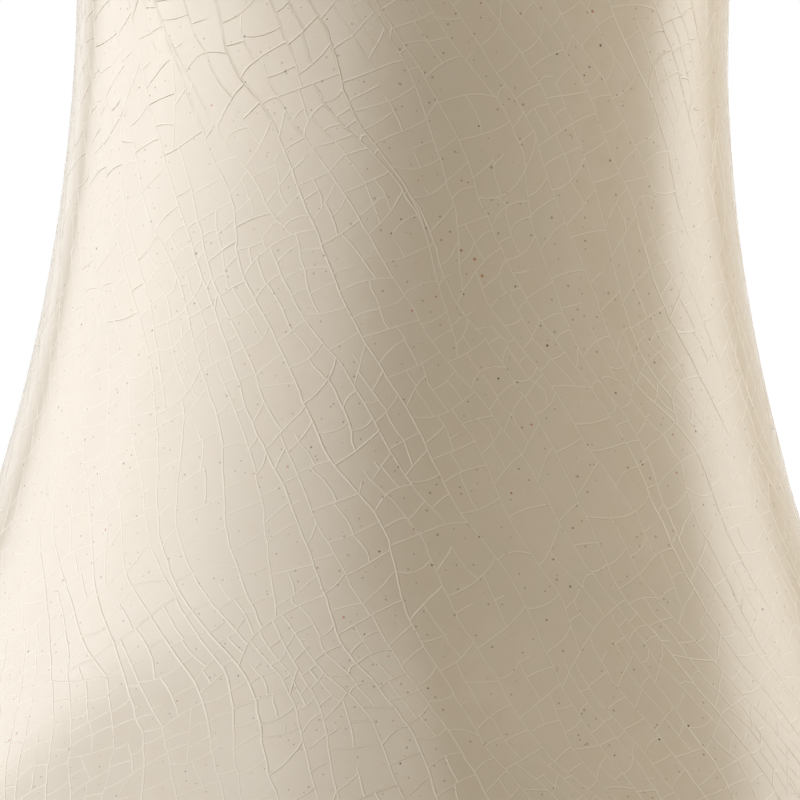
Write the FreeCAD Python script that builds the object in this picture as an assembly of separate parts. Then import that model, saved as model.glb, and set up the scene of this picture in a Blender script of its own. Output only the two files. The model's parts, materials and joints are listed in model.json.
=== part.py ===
import FreeCAD, Part
import math
import os

# Double gourd table lamp. Millimetres, +Z up, origin on the table under the lamp's axis.
# The front is -Y, where the switch knob points, and the cord outlet is at the back, +Y.

# Felt pad and turned wooden base
FELT_RADIUS = 84.0
FELT_THICKNESS = 2.5
BASE_RADIUS = 92.0
BASE_HEIGHT = 24.0
BASE_BAND = 14.0
BASE_EDGE_ROUND = 2.0
BASE_TOP_RADIUS = 79.0
BASE_BEAD_RADIUS = 2.5
BASE_STEP = 2.0
RECESS_RADIUS = 24.0
RECESS_DEPTH = 15.0
CORD_BORE_RADIUS = 3.3
CORD_WAY_RADIUS = 4.2
BUSHING_RADIUS = 5.0
BUSHING_LENGTH = 14.0
BUSHING_FLANGE_RADIUS = 7.2
BUSHING_FLANGE_THICKNESS = 1.6
GASKET_THICKNESS = 1.5
GASKET_INSET = 1.0

# Double gourd body: the waist and the two bulbs are joined by tangent arcs
WAIST_RADIUS = 45.0
WAIST_CURVE_BELOW = 220.0
WAIST_CURVE_ABOVE = 140.0
LOWER_BULB_RADIUS = 120.0
LOWER_BULB_SHOULDER = 110.0
LOWER_BULB_HEIGHT = 92.0
UPPER_BULB_RADIUS = 78.0
UPPER_BULB_SHOULDER = 70.0
DOME_RADIUS = 55.0
WALL = 6.0
FOOT_RADIUS = 70.0
FOOT_STEP = 1.0
FOOT_RING_WIDTH = 8.0
FOOT_RING_HEIGHT = 4.0
FLOOR_THICKNESS = 8.0
FLOOR_HOLE_RADIUS = 9.0
MOUTH_RADIUS = 18.0
LIP_RADIUS = 27.0
LIP_HEIGHT = 5.0
LIP_ROUND = 2.25

# Threaded rod, nuts and washers
ROD_RADIUS = 5.1
ROD_BORE_RADIUS = 3.4
THREAD_GAP = 0.05
ROD_HOLE_GAP = 0.4
NUT_FLATS = 17.0
NUT_THICKNESS = 4.0
WASHER_RADIUS = 16.0
WASHER_THICKNESS = 1.6
ROD_TAIL = 2.0

# Brass stack on the mouth
CAP_RADIUS = 31.0
CAP_HEIGHT = 10.0
CAP_SHEET = 1.5
CHECK_RING_RADIUS = 12.5
CHECK_RING_HEIGHT = 3.5
NECK_RADIUS = 8.2
NECK_BEAD_RADIUS = 10.5
NECK_HEIGHT = 22.0

# Harp saddle, harp and sleeves
SADDLE_THICKNESS = 2.0
SADDLE_WIDTH = 10.0
SADDLE_HUB_RADIUS = 12.0
SADDLE_RISE = 6.0
COLLAR_RADIUS = 4.2
COLLAR_THICKNESS = 1.5
HARP_FOOT_X = 31.0
HARP_FOOT_RADIUS = 2.6
HARP_FOOT_HEIGHT = 13.0
HARP_FACE_GAP = 0.1
HARP_WIRE_RADIUS = 1.9
HARP_HEIGHT = 203.0
HARP_HALF_WIDTH = 54.0
HARP_STRAIGHT = 30.0
HARP_BEND_DEG = 30.0
HARP_PAD_RADIUS = 8.0
HARP_PAD_THICKNESS = 4.4
SLEEVE_RADIUS = 4.0
SLEEVE_GAP = 0.3
SLEEVE_HEIGHT = 13.5

# Swivel stud and finial
STUD_SHANK_RADIUS = 2.2
STUD_SHANK_GAP = 0.06
STUD_HEAD_RADIUS = 4.2
STUD_HEAD_THICKNESS = 1.5
STUD_SHOULDER_RADIUS = 7.0
STUD_SHOULDER_THICKNESS = 2.0
STUD_THREAD_RADIUS = 3.1
STUD_THREAD_LENGTH = 15.0
THREAD_DEPTH = 0.35
THREAD_PITCH = 1.5
FINIAL_BASE_RADIUS = 6.5
FINIAL_NECK_RADIUS = 5.0
FINIAL_TIP_RADIUS = 2.8
FINIAL_BALL_RADIUS = 9.0
FINIAL_HEIGHT = 33.0
FINIAL_BORE_GAP = 0.3

# Lamp socket
SOCKET_HUB_RADIUS = 7.6
SOCKET_HUB_HEIGHT = 11.0
SOCKET_CUP_RADIUS = 18.4
SOCKET_CUP_LAP = 7.0
SOCKET_SHEET = 0.8
SOCKET_CUP_BOW = 0.68
SHELL_RADIUS = 17.4
SHELL_SHEET = 0.5
SHELL_SEAT = 15.5
BODY_SEAT = 17.0
SHELL_HEIGHT = 47.0
LINER_GAP = 0.2
LINER_THICKNESS = 0.8
BODY_GAP = 0.15
BODY_HEIGHT = 19.0
SCREW_SHELL_RADIUS = 14.3
SCREW_SHELL_SHEET = 0.4
SCREW_SHELL_HEIGHT = 23.0
SCREW_DEPTH = 0.6
SCREW_PITCH = 3.6
CONTACT_WIDTH = 5.0
CONTACT_RISE = 3.2
CONTACT_LENGTH = 7.0
STEM_RADIUS = 1.8
STEM_GAP = 0.06
STEM_HOLE_GAP = 0.5
STEM_REACH = 27.0
STEM_INNER_Y = 2.5
KNOB_RADIUS = 5.2
KNOB_LENGTH = 11.0
KNOB_FLUTES = 12
SET_SCREW_RADIUS = 1.6
SET_SCREW_LENGTH = 4.2
FIT_GAP = 0.05
TERMINAL_HEAD_RADIUS = 2.9
TERMINAL_HEAD_HEIGHT = 1.8
TERMINAL_SHANK_RADIUS = 1.5
TERMINAL_DEPTH = 5.0

# Bulb
BULB_SCREW_RADIUS = 13.0
BULB_SCREW_LENGTH = 19.0
BULB_SCREW_SHEET = 0.4
BULB_TIP_RADIUS = 4.6
BULB_TIP_HEIGHT = 1.4
BULB_TIP_GAP = 0.3
BULB_CONE_HEIGHT = 3.0
BULB_NECK_RADIUS = 11.8
BULB_NECK_CURVE = 35.0
BULB_NECK_DEPTH = 5.0
BULB_RADIUS = 30.0
BULB_GLASS_HEIGHT = 80.0
BULB_GLASS = 0.9
FILAMENT_RADIUS = 0.5
FILAMENT_HALF_SPAN = 11.0
LEAD_RADIUS = 0.45
STEM_GLASS_RADIUS = 3.4
STEM_GLASS_DROP = 22.5

# Shade
SHADE_BOTTOM_RADIUS = 203.0
SHADE_TOP_RADIUS = 165.0
SHADE_HEIGHT = 255.0
SHADE_CLOTH = 0.8
SHADE_LINER = 0.7
SHADE_LAYER_GAP = 0.05
RING_WIRE_RADIUS = 1.7
RING_GAP = 0.1
TRIM_WIDTH = 9.0
TRIM_THICKNESS = 0.7
SPIDER_DROP = 18.0
SPIDER_ARMS = 3
SPIDER_WIRE_RADIUS = 1.5
SPIDER_HUB_RADIUS = 11.0
SPIDER_HUB_THICKNESS = 1.6
SPIDER_HOLE_GAP = 0.4

# Heights of the seats, from the table up
BASE_Z = FELT_THICKNESS
RECESS_TOP_Z = BASE_Z + RECESS_DEPTH
FOOT_SEAT_Z = BASE_Z + BASE_HEIGHT
GOURD_Z = FOOT_SEAT_Z + GASKET_THICKNESS
UP = FreeCAD.Vector(0, 0, 1)
FRONT = FreeCAD.Vector(0, -1, 0)
BACK = FreeCAD.Vector(0, 1, 0)


def vec(x, y, z):
    return FreeCAD.Vector(x, y, z)


def line(a, b):
    """A straight edge between two (radius, height) points of an outline."""
    return Part.LineSegment(vec(a[0], 0, a[1]), vec(b[0], 0, b[1])).toShape()


def arc(a, middle, b):
    """A round edge through three (radius, height) points of an outline."""
    ends = [vec(p[0], 0, p[1]) for p in (a, middle, b)]
    return Part.Arc(*ends).toShape()


def polygon(points):
    corners = [vec(r, 0, z) for r, z in points]
    return Part.Face(Part.makePolygon(corners + corners[:1]))


def turned(points):
    """A solid of revolution about the lamp's axis from (radius, height) points."""
    return polygon(points).revolve(vec(0, 0, 0), UP, 360)


def turned_edges(edges):
    """A solid of revolution about the lamp's axis from lines and arcs in order."""
    return Part.Face(Part.Wire(edges)).revolve(vec(0, 0, 0), UP, 360)


def cylinder(radius, low, high):
    return Part.makeCylinder(radius, high - low, vec(0, 0, low), UP)


def tube(outer, inner, low, high):
    return cylinder(outer, low, high).cut(cylinder(inner, low - 1, high + 1))


def raised(shape, height):
    shape.translate(vec(0, 0, height))
    return shape


def around(count):
    """Equal angles in degrees for a number of copies round the axis."""
    return [360.0 * i / count for i in range(count)]


def save(name, shape):
    """Write one node, after checking that each of its solids is sound."""
    solids = shape.Solids
    if not solids or not all(s.isValid() and s.Volume > 0 for s in solids):
        raise ValueError(name + " is not a sound solid")
    node = solids[0] if len(solids) == 1 else Part.makeCompound(solids)
    node.exportStep(os.path.join("parts", name + ".step"))
    print(name, len(solids), round(sum(s.Volume for s in solids), 1))


class OutlineArc:
    """One arc of the gourd's outline, between two angles from the horizontal.

    A hollow arc has its centre outside the clay, as the waist does, and a full one
    has it inside, as the bulbs do.
    """

    def __init__(self, centre_r, centre_z, radius, start, end, hollow=False):
        self.centre_r = centre_r
        self.centre_z = centre_z
        self.radius = radius
        self.start = start
        self.end = end
        self.side = -1 if hollow else 1

    def point(self, angle, depth):
        reach = self.side * self.radius - depth
        return (self.centre_r + reach * math.cos(angle), self.centre_z + reach * math.sin(angle))

    def first(self, depth=0.0):
        return self.point(self.start, depth)

    def last(self, depth=0.0):
        return self.point(self.end, depth)

    def edge(self, depth=0.0):
        middle = self.point((self.start + self.end) / 2, depth)
        return arc(self.first(depth), middle, self.last(depth))


def rise_between(full, hollow, full_r, hollow_r):
    """Height and reach between the centres of a bulb's arc and the waist's, which are tangent."""
    across = hollow_r + hollow - full_r + full
    return math.sqrt((full + hollow) ** 2 - across**2), across


LOWER_RISE, LOWER_ACROSS = rise_between(
    LOWER_BULB_SHOULDER, WAIST_CURVE_BELOW, LOWER_BULB_RADIUS, WAIST_RADIUS
)
UPPER_RISE, UPPER_ACROSS = rise_between(
    UPPER_BULB_SHOULDER, WAIST_CURVE_ABOVE, UPPER_BULB_RADIUS, WAIST_RADIUS
)
WAIST_Z = LOWER_BULB_HEIGHT + LOWER_RISE
UPPER_BULB_Z = WAIST_Z + UPPER_RISE
DOME_RISE = math.sqrt(DOME_RADIUS**2 - (LIP_RADIUS - UPPER_BULB_RADIUS + DOME_RADIUS) ** 2)
COLLAR_Z = UPPER_BULB_Z + DOME_RISE
GOURD_HEIGHT = COLLAR_Z + LIP_HEIGHT


def gourd_arcs():
    """The arcs of the outline from the foot to the collar, each tangent to the next."""
    rise = LOWER_BULB_HEIGHT - FOOT_RING_HEIGHT
    run = LOWER_BULB_RADIUS - FOOT_RADIUS
    belly = (run**2 + rise**2) / (2 * run)
    lower_turn = math.atan2(LOWER_RISE, LOWER_ACROSS)
    upper_turn = math.atan2(UPPER_RISE, UPPER_ACROSS)
    shoulder_r = LOWER_BULB_RADIUS - LOWER_BULB_SHOULDER
    upper_r = UPPER_BULB_RADIUS - UPPER_BULB_SHOULDER
    dome_r = UPPER_BULB_RADIUS - DOME_RADIUS
    below_r = WAIST_RADIUS + WAIST_CURVE_BELOW
    above_r = WAIST_RADIUS + WAIST_CURVE_ABOVE
    return [
        OutlineArc(LOWER_BULB_RADIUS - belly, LOWER_BULB_HEIGHT, belly, -math.asin(rise / belly), 0.0),
        OutlineArc(shoulder_r, LOWER_BULB_HEIGHT, LOWER_BULB_SHOULDER, 0.0, lower_turn),
        OutlineArc(below_r, WAIST_Z, WAIST_CURVE_BELOW, lower_turn, 0.0, hollow=True),
        OutlineArc(above_r, WAIST_Z, WAIST_CURVE_ABOVE, 0.0, -upper_turn, hollow=True),
        OutlineArc(upper_r, UPPER_BULB_Z, UPPER_BULB_SHOULDER, -upper_turn, 0.0),
        OutlineArc(dome_r, UPPER_BULB_Z, DOME_RADIUS, 0.0, math.asin(DOME_RISE / DOME_RADIUS)),
    ]


FOOT_OUTER = FOOT_RADIUS - FOOT_STEP
FOOT_INNER = FOOT_OUTER - FOOT_RING_WIDTH


def gourd_solid():
    """The body's outer form, filled: foot ring, bulbs, waist, dome and rounded lip."""
    arcs = gourd_arcs()
    shoulder = (LIP_RADIUS, GOURD_HEIGHT - LIP_ROUND)
    brow = LIP_ROUND * (1 - math.sqrt(0.5))
    top = (LIP_RADIUS - LIP_ROUND, GOURD_HEIGHT)
    foot = [(0, GOURD_HEIGHT), (0, 0), (FOOT_OUTER, 0), (FOOT_OUTER, FOOT_RING_HEIGHT), arcs[0].first()]
    edges = [a.edge() for a in arcs]
    edges.append(line(arcs[-1].last(), shoulder))
    edges.append(arc(shoulder, (LIP_RADIUS - brow, GOURD_HEIGHT - brow), top))
    edges.append(line(top, foot[0]))
    edges += [line(a, b) for a, b in zip(foot, foot[1:])]
    return turned_edges(edges)


def gourd_hollow():
    """The space inside the clay, a wall's depth in, down to the floor."""
    arcs = gourd_arcs()
    bottom = arcs[0].first(WALL)
    top = arcs[-1].last(WALL)
    edges = [a.edge(WALL) for a in arcs]
    edges.append(line(top, (0, top[1])))
    edges.append(line((0, top[1]), (0, bottom[1])))
    edges.append(line((0, bottom[1]), bottom))
    floor = FOOT_RING_HEIGHT + FLOOR_THICKNESS
    return turned_edges(edges).cut(cylinder(LOWER_BULB_RADIUS, bottom[1] - 1, floor))


def gourd_body():
    """Hollow glazed ceramic with a hole in its floor for the rod and an open mouth."""
    mouth = cylinder(MOUTH_RADIUS, UPPER_BULB_Z, GOURD_HEIGHT + 1)
    recess = cylinder(FOOT_INNER, -1, FOOT_RING_HEIGHT)
    floor_hole = cylinder(FLOOR_HOLE_RADIUS, -1, LOWER_BULB_HEIGHT)
    shape = gourd_solid().cut(gourd_hollow())
    for opening in (mouth, recess, floor_hole):
        shape = shape.cut(opening)
    return raised(shape, GOURD_Z)


# Heights above the mouth
MOUTH_Z = GOURD_Z + GOURD_HEIGHT
CAP_Z = MOUTH_Z + GASKET_THICKNESS
CHECK_RING_Z = CAP_Z + CAP_HEIGHT
NECK_Z = CHECK_RING_Z + CHECK_RING_HEIGHT
SADDLE_Z = NECK_Z + NECK_HEIGHT
LOCK_NUT_Z = SADDLE_Z + SADDLE_THICKNESS
SOCKET_Z = LOCK_NUT_Z + NUT_THICKNESS
ROD_TOP_Z = SOCKET_Z + SOCKET_HUB_HEIGHT - ROD_TAIL
WASHER_Z = RECESS_TOP_Z - WASHER_THICKNESS
BASE_NUT_Z = WASHER_Z - NUT_THICKNESS
ROD_BOTTOM_Z = BASE_NUT_Z - ROD_TAIL
CORD_Z = BASE_Z + BASE_BAND / 2


def felt_pad():
    return cylinder(FELT_RADIUS, 0, FELT_THICKNESS)


def base_outline():
    """The turned profile of the base: band, bead and cove, from the axis and back to it."""
    bead_low = BASE_BAND
    bead_high = bead_low + 2 * BASE_BEAD_RADIUS
    bead_r = BASE_RADIUS - BASE_BEAD_RADIUS
    soft = BASE_EDGE_ROUND * (1 - math.sqrt(0.5))
    cove_foot = (bead_r - BASE_STEP, bead_high)
    cove_top = (BASE_TOP_RADIUS + BASE_STEP / 2, BASE_HEIGHT - BASE_STEP / 2)
    cove_deep = (
        cove_top[0] + (cove_foot[0] - cove_top[0]) / 4,
        cove_foot[1] + (cove_top[1] - cove_foot[1]) / 4,
    )
    return [
        line((0, 0), (BASE_RADIUS - BASE_EDGE_ROUND, 0)),
        arc(
            (BASE_RADIUS - BASE_EDGE_ROUND, 0),
            (BASE_RADIUS - soft, soft),
            (BASE_RADIUS, BASE_EDGE_ROUND),
        ),
        line((BASE_RADIUS, BASE_EDGE_ROUND), (BASE_RADIUS, bead_low)),
        line((BASE_RADIUS, bead_low), (bead_r, bead_low)),
        arc((bead_r, bead_low), (BASE_RADIUS, bead_low + BASE_BEAD_RADIUS), (bead_r, bead_high)),
        line((bead_r, bead_high), cove_foot),
        arc(cove_foot, cove_deep, cove_top),
        line(cove_top, (BASE_TOP_RADIUS, BASE_HEIGHT)),
        line((BASE_TOP_RADIUS, BASE_HEIGHT), (0, BASE_HEIGHT)),
        line((0, BASE_HEIGHT), (0, 0)),
    ]


def along(start, direction, radius, length):
    return Part.makeCylinder(radius, length, start, direction)


BUSHING_SEAT_Y = BASE_RADIUS - BUSHING_FLANGE_THICKNESS / 2


def base_plinth():
    """Turned wooden base with a recess for the nut and a bored way out for the cord."""
    shape = raised(turned_edges(base_outline()), BASE_Z)
    shape = shape.cut(cylinder(RECESS_RADIUS, BASE_Z - 1, RECESS_TOP_Z))
    shape = shape.cut(cylinder(ROD_RADIUS + ROD_HOLE_GAP, BASE_Z, FOOT_SEAT_Z + 1))
    cord_way = along(vec(0, 0, CORD_Z), BACK, CORD_WAY_RADIUS, BASE_RADIUS)
    seat = along(
        vec(0, BUSHING_SEAT_Y - BUSHING_LENGTH - FIT_GAP, CORD_Z),
        BACK,
        BUSHING_RADIUS + FIT_GAP,
        BASE_RADIUS,
    )
    spot = along(vec(0, BUSHING_SEAT_Y, CORD_Z), BACK, BUSHING_FLANGE_RADIUS + ROD_HOLE_GAP, BASE_RADIUS)
    return shape.cut(cord_way).cut(seat).cut(spot)


def cord_bushing():
    """Flanged bushing in the back of the base, bored for the cord."""
    barrel = along(vec(0, BUSHING_SEAT_Y - BUSHING_LENGTH, CORD_Z), BACK, BUSHING_RADIUS, BUSHING_LENGTH)
    flange = along(vec(0, BUSHING_SEAT_Y, CORD_Z), BACK, BUSHING_FLANGE_RADIUS, BUSHING_FLANGE_THICKNESS)
    bore = along(vec(0, 0, CORD_Z), BACK, CORD_BORE_RADIUS, 2 * BASE_RADIUS)
    return barrel.fuse(flange).cut(bore).removeSplitter()


def foot_gasket():
    return tube(FOOT_OUTER - GASKET_INSET, FOOT_INNER + GASKET_INSET, FOOT_SEAT_Z, GOURD_Z)


def mouth_gasket():
    return tube(LIP_RADIUS - LIP_ROUND, MOUTH_RADIUS + GASKET_INSET, MOUTH_Z, CAP_Z)


def threaded_rod():
    return tube(ROD_RADIUS, ROD_BORE_RADIUS, ROD_BOTTOM_Z, ROD_TOP_Z)


def hex_nut(low):
    """A hexagon nut on the rod, with its corners turned off."""
    high = low + NUT_THICKNESS
    flat = NUT_FLATS / 2
    corner = NUT_FLATS / math.sqrt(3)
    bevel = (corner - flat) / 2
    bevelled = [(flat, low), (corner, low + bevel), (corner, high - bevel), (flat, high)]
    turn = turned([(0, low)] + bevelled + [(0, high)])
    angles = [math.radians(a) for a in around(6)]
    corners = [vec(corner * math.cos(a), corner * math.sin(a), low) for a in angles]
    blank = Part.Face(Part.makePolygon(corners + corners[:1])).extrude(vec(0, 0, NUT_THICKNESS))
    return blank.common(turn).cut(cylinder(ROD_RADIUS + THREAD_GAP, low - 1, high + 1))


def rod_washer():
    return tube(WASHER_RADIUS, ROD_RADIUS + ROD_HOLE_GAP, WASHER_Z, RECESS_TOP_Z)


def dome_edge(crown, top, rim, low):
    """An arc that leaves the crown level and falls to the rim, from the crown outwards."""
    across = rim - crown
    fall = top - low
    radius = (across**2 + fall**2) / (2 * fall)
    half_turn = math.asin(across / radius) / 2
    middle = (crown + radius * math.sin(half_turn), top - radius * (1 - math.cos(half_turn)))
    return arc((crown, top), middle, (rim, low))


def vase_cap():
    """Spun brass cap: a flat seat on the gasket and a low domed top round the rod."""
    bore = ROD_RADIUS + ROD_HOLE_GAP
    crown = CHECK_RING_RADIUS + CAP_SHEET
    seat = MOUTH_RADIUS + 2 * GASKET_INSET
    inner_rim = CAP_RADIUS - CAP_SHEET
    roof = CAP_HEIGHT - CAP_SHEET
    edges = [
        line((bore, roof), (bore, CAP_HEIGHT)),
        line((bore, CAP_HEIGHT), (crown, CAP_HEIGHT)),
        dome_edge(crown, CAP_HEIGHT, CAP_RADIUS, CAP_SHEET),
        line((CAP_RADIUS, CAP_SHEET), (CAP_RADIUS, 0)),
        line((CAP_RADIUS, 0), (seat, 0)),
        line((seat, 0), (seat, CAP_SHEET)),
        line((seat, CAP_SHEET), (inner_rim, CAP_SHEET)),
        dome_edge(crown, roof, inner_rim, CAP_SHEET),
        line((crown, roof), (bore, roof)),
    ]
    return raised(turned_edges(edges), CAP_Z)


def check_ring():
    """Thick brass washer with a half-round edge."""
    bore = ROD_RADIUS + ROD_HOLE_GAP
    half = CHECK_RING_HEIGHT / 2
    edge_r = CHECK_RING_RADIUS - half
    edges = [
        line((bore, 0), (edge_r, 0)),
        arc((edge_r, 0), (CHECK_RING_RADIUS, half), (edge_r, CHECK_RING_HEIGHT)),
        line((edge_r, CHECK_RING_HEIGHT), (bore, CHECK_RING_HEIGHT)),
        line((bore, CHECK_RING_HEIGHT), (bore, 0)),
    ]
    return raised(turned_edges(edges), CHECK_RING_Z)


def neck_tube():
    """Turned brass neck over the rod, with a bead at mid height."""
    bore = ROD_RADIUS + ROD_HOLE_GAP
    swell = NECK_BEAD_RADIUS - NECK_RADIUS
    middle = NECK_HEIGHT / 2
    edges = [
        line((bore, 0), (NECK_RADIUS, 0)),
        line((NECK_RADIUS, 0), (NECK_RADIUS, middle - swell)),
        arc((NECK_RADIUS, middle - swell), (NECK_BEAD_RADIUS, middle), (NECK_RADIUS, middle + swell)),
        line((NECK_RADIUS, middle + swell), (NECK_RADIUS, NECK_HEIGHT)),
        line((NECK_RADIUS, NECK_HEIGHT), (bore, NECK_HEIGHT)),
        line((bore, NECK_HEIGHT), (bore, 0)),
    ]
    return raised(turned_edges(edges), NECK_Z)


# Harp: its feet stand on the saddle's collars, and each leg is a wire of straight runs and arcs
COLLAR_TOP = SADDLE_THICKNESS + SADDLE_RISE + COLLAR_THICKNESS
HARP_FOOT_Z = SADDLE_Z + COLLAR_TOP
HARP_TOP_Z = HARP_FOOT_Z + HARP_HEIGHT
POST_HEIGHT = HARP_FOOT_HEIGHT - SLEEVE_GAP


def half_round(side, outward, low, high):
    """Half of a round post at one end of the saddle, cut along the leg's middle plane."""
    centre = side * HARP_FOOT_X
    post = cylinder(HARP_FOOT_RADIUS, low, high)
    post.translate(vec(centre, 0, 0))
    reach = 2 * HARP_FOOT_RADIUS
    away = side if outward else -side
    start = centre + away * HARP_FACE_GAP / 2
    left = min(start, start + away * reach)
    keep = Part.makeBox(reach, 2 * reach, high - low + 2, vec(left, -reach, low - 1))
    return post.common(keep)


def saddle_strip():
    """The bent strip: a floor with a rounded bend up to each end."""
    inner = HARP_FOOT_X - SADDLE_THICKNESS / 2
    outer = HARP_FOOT_X + SADDLE_THICKNESS / 2
    top = SADDLE_THICKNESS + SADDLE_RISE
    bend = 2 * SADDLE_THICKNESS
    inner_bend = bend - SADDLE_THICKNESS
    soft = bend * (1 - math.sqrt(0.5))
    inner_soft = inner_bend * (1 - math.sqrt(0.5))
    edges = []
    for s in (1, -1):
        edges.append(line((0, 0), (s * (outer - bend), 0)))
        edges.append(arc((s * (outer - bend), 0), (s * (outer - soft), soft), (s * outer, bend)))
        edges.append(line((s * outer, bend), (s * outer, top)))
        edges.append(line((s * outer, top), (s * inner, top)))
        edges.append(line((s * inner, top), (s * inner, bend)))
        edges.append(
            arc(
                (s * inner, bend),
                (s * (inner - inner_soft), SADDLE_THICKNESS + inner_soft),
                (s * (inner - inner_bend), SADDLE_THICKNESS),
            )
        )
        edges.append(line((s * (inner - inner_bend), SADDLE_THICKNESS), (0, SADDLE_THICKNESS)))
    wire = Part.Wire(Part.sortEdges(edges)[0])
    strip = Part.Face(wire).extrude(vec(0, SADDLE_WIDTH, 0))
    strip.translate(vec(0, -SADDLE_WIDTH / 2, 0))
    return strip


def harp_saddle():
    """Bent steel saddle on the rod, with a collar and a half-round post at each end."""
    shape = saddle_strip().fuse(cylinder(SADDLE_HUB_RADIUS, 0, SADDLE_THICKNESS))
    for side in (-1, 1):
        collar = cylinder(COLLAR_RADIUS, COLLAR_TOP - COLLAR_THICKNESS, COLLAR_TOP)
        collar.translate(vec(side * HARP_FOOT_X, 0, 0))
        post = half_round(side, False, COLLAR_TOP - COLLAR_THICKNESS, COLLAR_TOP + POST_HEIGHT)
        shape = shape.fuse(collar).fuse(post)
    bore = cylinder(ROD_RADIUS + ROD_HOLE_GAP, -1, SADDLE_THICKNESS + 1)
    return raised(shape.cut(bore).removeSplitter(), SADDLE_Z)


def harp_half_path():
    """Points of the right leg, as (x, z) ends and middles of runs and arcs, from foot to top."""
    bend = math.radians(HARP_BEND_DEG)
    flare = (HARP_HALF_WIDTH - HARP_FOOT_X) / (2 * (1 - math.cos(bend)))
    crown_run = HARP_PAD_RADIUS + HARP_WIRE_RADIUS
    top_round = HARP_HALF_WIDTH - crown_run
    start = (HARP_FOOT_X, HARP_FOOT_Z + HARP_FOOT_HEIGHT)
    knee = (HARP_FOOT_X, HARP_FOOT_Z + HARP_STRAIGHT)
    centre = (knee[0] + flare, knee[1])
    out_mid = (centre[0] - flare * math.cos(bend / 2), centre[1] + flare * math.sin(bend / 2))
    turn = (centre[0] - flare * math.cos(bend), centre[1] + flare * math.sin(bend))
    back = (HARP_HALF_WIDTH - flare, knee[1] + 2 * flare * math.sin(bend))
    in_mid = (back[0] + flare * math.cos(bend / 2), back[1] - flare * math.sin(bend / 2))
    widest = (HARP_HALF_WIDTH, back[1])
    spring = (HARP_HALF_WIDTH, HARP_TOP_Z - top_round)
    round_mid = (
        crown_run + top_round * math.sqrt(0.5),
        HARP_TOP_Z - top_round * (1 - math.sqrt(0.5)),
    )
    crown = (crown_run, HARP_TOP_Z)
    return [
        line(start, knee),
        arc(knee, out_mid, turn),
        arc(turn, in_mid, widest),
        line(widest, spring),
        arc(spring, round_mid, crown),
        line(crown, (0, HARP_TOP_Z)),
    ]


def harp_wire():
    """The round wire of both legs, swept in one piece from foot to foot over the crown."""
    right = Part.Wire(harp_half_path())
    left = right.mirror(vec(0, 0, 0), vec(1, 0, 0))
    path = Part.Wire(Part.sortEdges(left.Edges + right.Edges)[0])
    start = path.OrderedVertexes[0].Point
    section = Part.Wire([Part.makeCircle(HARP_WIRE_RADIUS, start, UP)])
    return path.makePipeShell([section], True, False)


def harp_bow():
    """Wire bow with half-round feet and a bored pad at the crown for the swivel stud."""
    half = HARP_PAD_THICKNESS / 2
    foot_top = HARP_FOOT_Z + HARP_FOOT_HEIGHT + HARP_WIRE_RADIUS
    shape = harp_wire().fuse(cylinder(HARP_PAD_RADIUS, HARP_TOP_Z - half, HARP_TOP_Z + half))
    for side in (-1, 1):
        shape = shape.fuse(half_round(side, True, HARP_FOOT_Z, foot_top))
    bore_radius = STUD_SHANK_RADIUS + STUD_SHANK_GAP
    return shape.cut(cylinder(bore_radius, HARP_TOP_Z - 2 * half, HARP_TOP_Z + 2 * half))


def harp_sleeve(side):
    """Locking sleeve that holds a harp leg's foot against the saddle's post."""
    bore = HARP_FOOT_RADIUS + SLEEVE_GAP
    waist = SLEEVE_RADIUS - SLEEVE_GAP
    third = SLEEVE_HEIGHT / 3
    outline = [
        (bore, 0),
        (SLEEVE_RADIUS, 0),
        (SLEEVE_RADIUS, third),
        (waist, third + SLEEVE_GAP),
        (waist, SLEEVE_HEIGHT - SLEEVE_GAP),
        (waist - SLEEVE_GAP, SLEEVE_HEIGHT),
        (bore, SLEEVE_HEIGHT),
    ]
    shape = raised(turned(outline), HARP_FOOT_Z)
    shape.translate(vec(side * HARP_FOOT_X, 0, 0))
    return shape


# Swivel stud, spider and finial seats
PAD_TOP_Z = HARP_TOP_Z + HARP_PAD_THICKNESS / 2
SHOULDER_Z = PAD_TOP_Z + FIT_GAP
SPIDER_Z = SHOULDER_Z + STUD_SHOULDER_THICKNESS
SPIDER_TOP_Z = SPIDER_Z + SPIDER_HUB_THICKNESS


def ringed(radius, depth, pitch, low, high):
    """Points up a ringed surface, out at each crest and in at each groove between two heights."""
    count = max(1, int((high - low) / pitch))
    step = (high - low) / count
    points = [(radius, low)]
    for i in range(count):
        points.append((radius - depth, low + (i + 0.5) * step))
        points.append((radius, low + (i + 1) * step))
    return points


def harp_stud():
    """Swivel stud riveted through the harp's pad, with a shoulder and a threaded top."""
    head_top = HARP_TOP_Z - HARP_PAD_THICKNESS / 2 - FIT_GAP
    head_low = head_top - STUD_HEAD_THICKNESS
    thread_top = SPIDER_Z + STUD_THREAD_LENGTH
    thread = ringed(STUD_THREAD_RADIUS, THREAD_DEPTH, THREAD_PITCH, SPIDER_Z, thread_top - THREAD_PITCH)
    outline = [
        (0, head_low),
        (STUD_HEAD_RADIUS - THREAD_DEPTH, head_low),
        (STUD_HEAD_RADIUS, head_low + THREAD_DEPTH),
        (STUD_HEAD_RADIUS, head_top),
        (STUD_SHANK_RADIUS, head_top),
        (STUD_SHANK_RADIUS, SHOULDER_Z),
        (STUD_SHOULDER_RADIUS, SHOULDER_Z),
        (STUD_SHOULDER_RADIUS, SPIDER_Z),
    ]
    outline += thread
    outline += [(STUD_THREAD_RADIUS - 2 * THREAD_DEPTH, thread_top), (0, thread_top)]
    return turned(outline)


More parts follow.
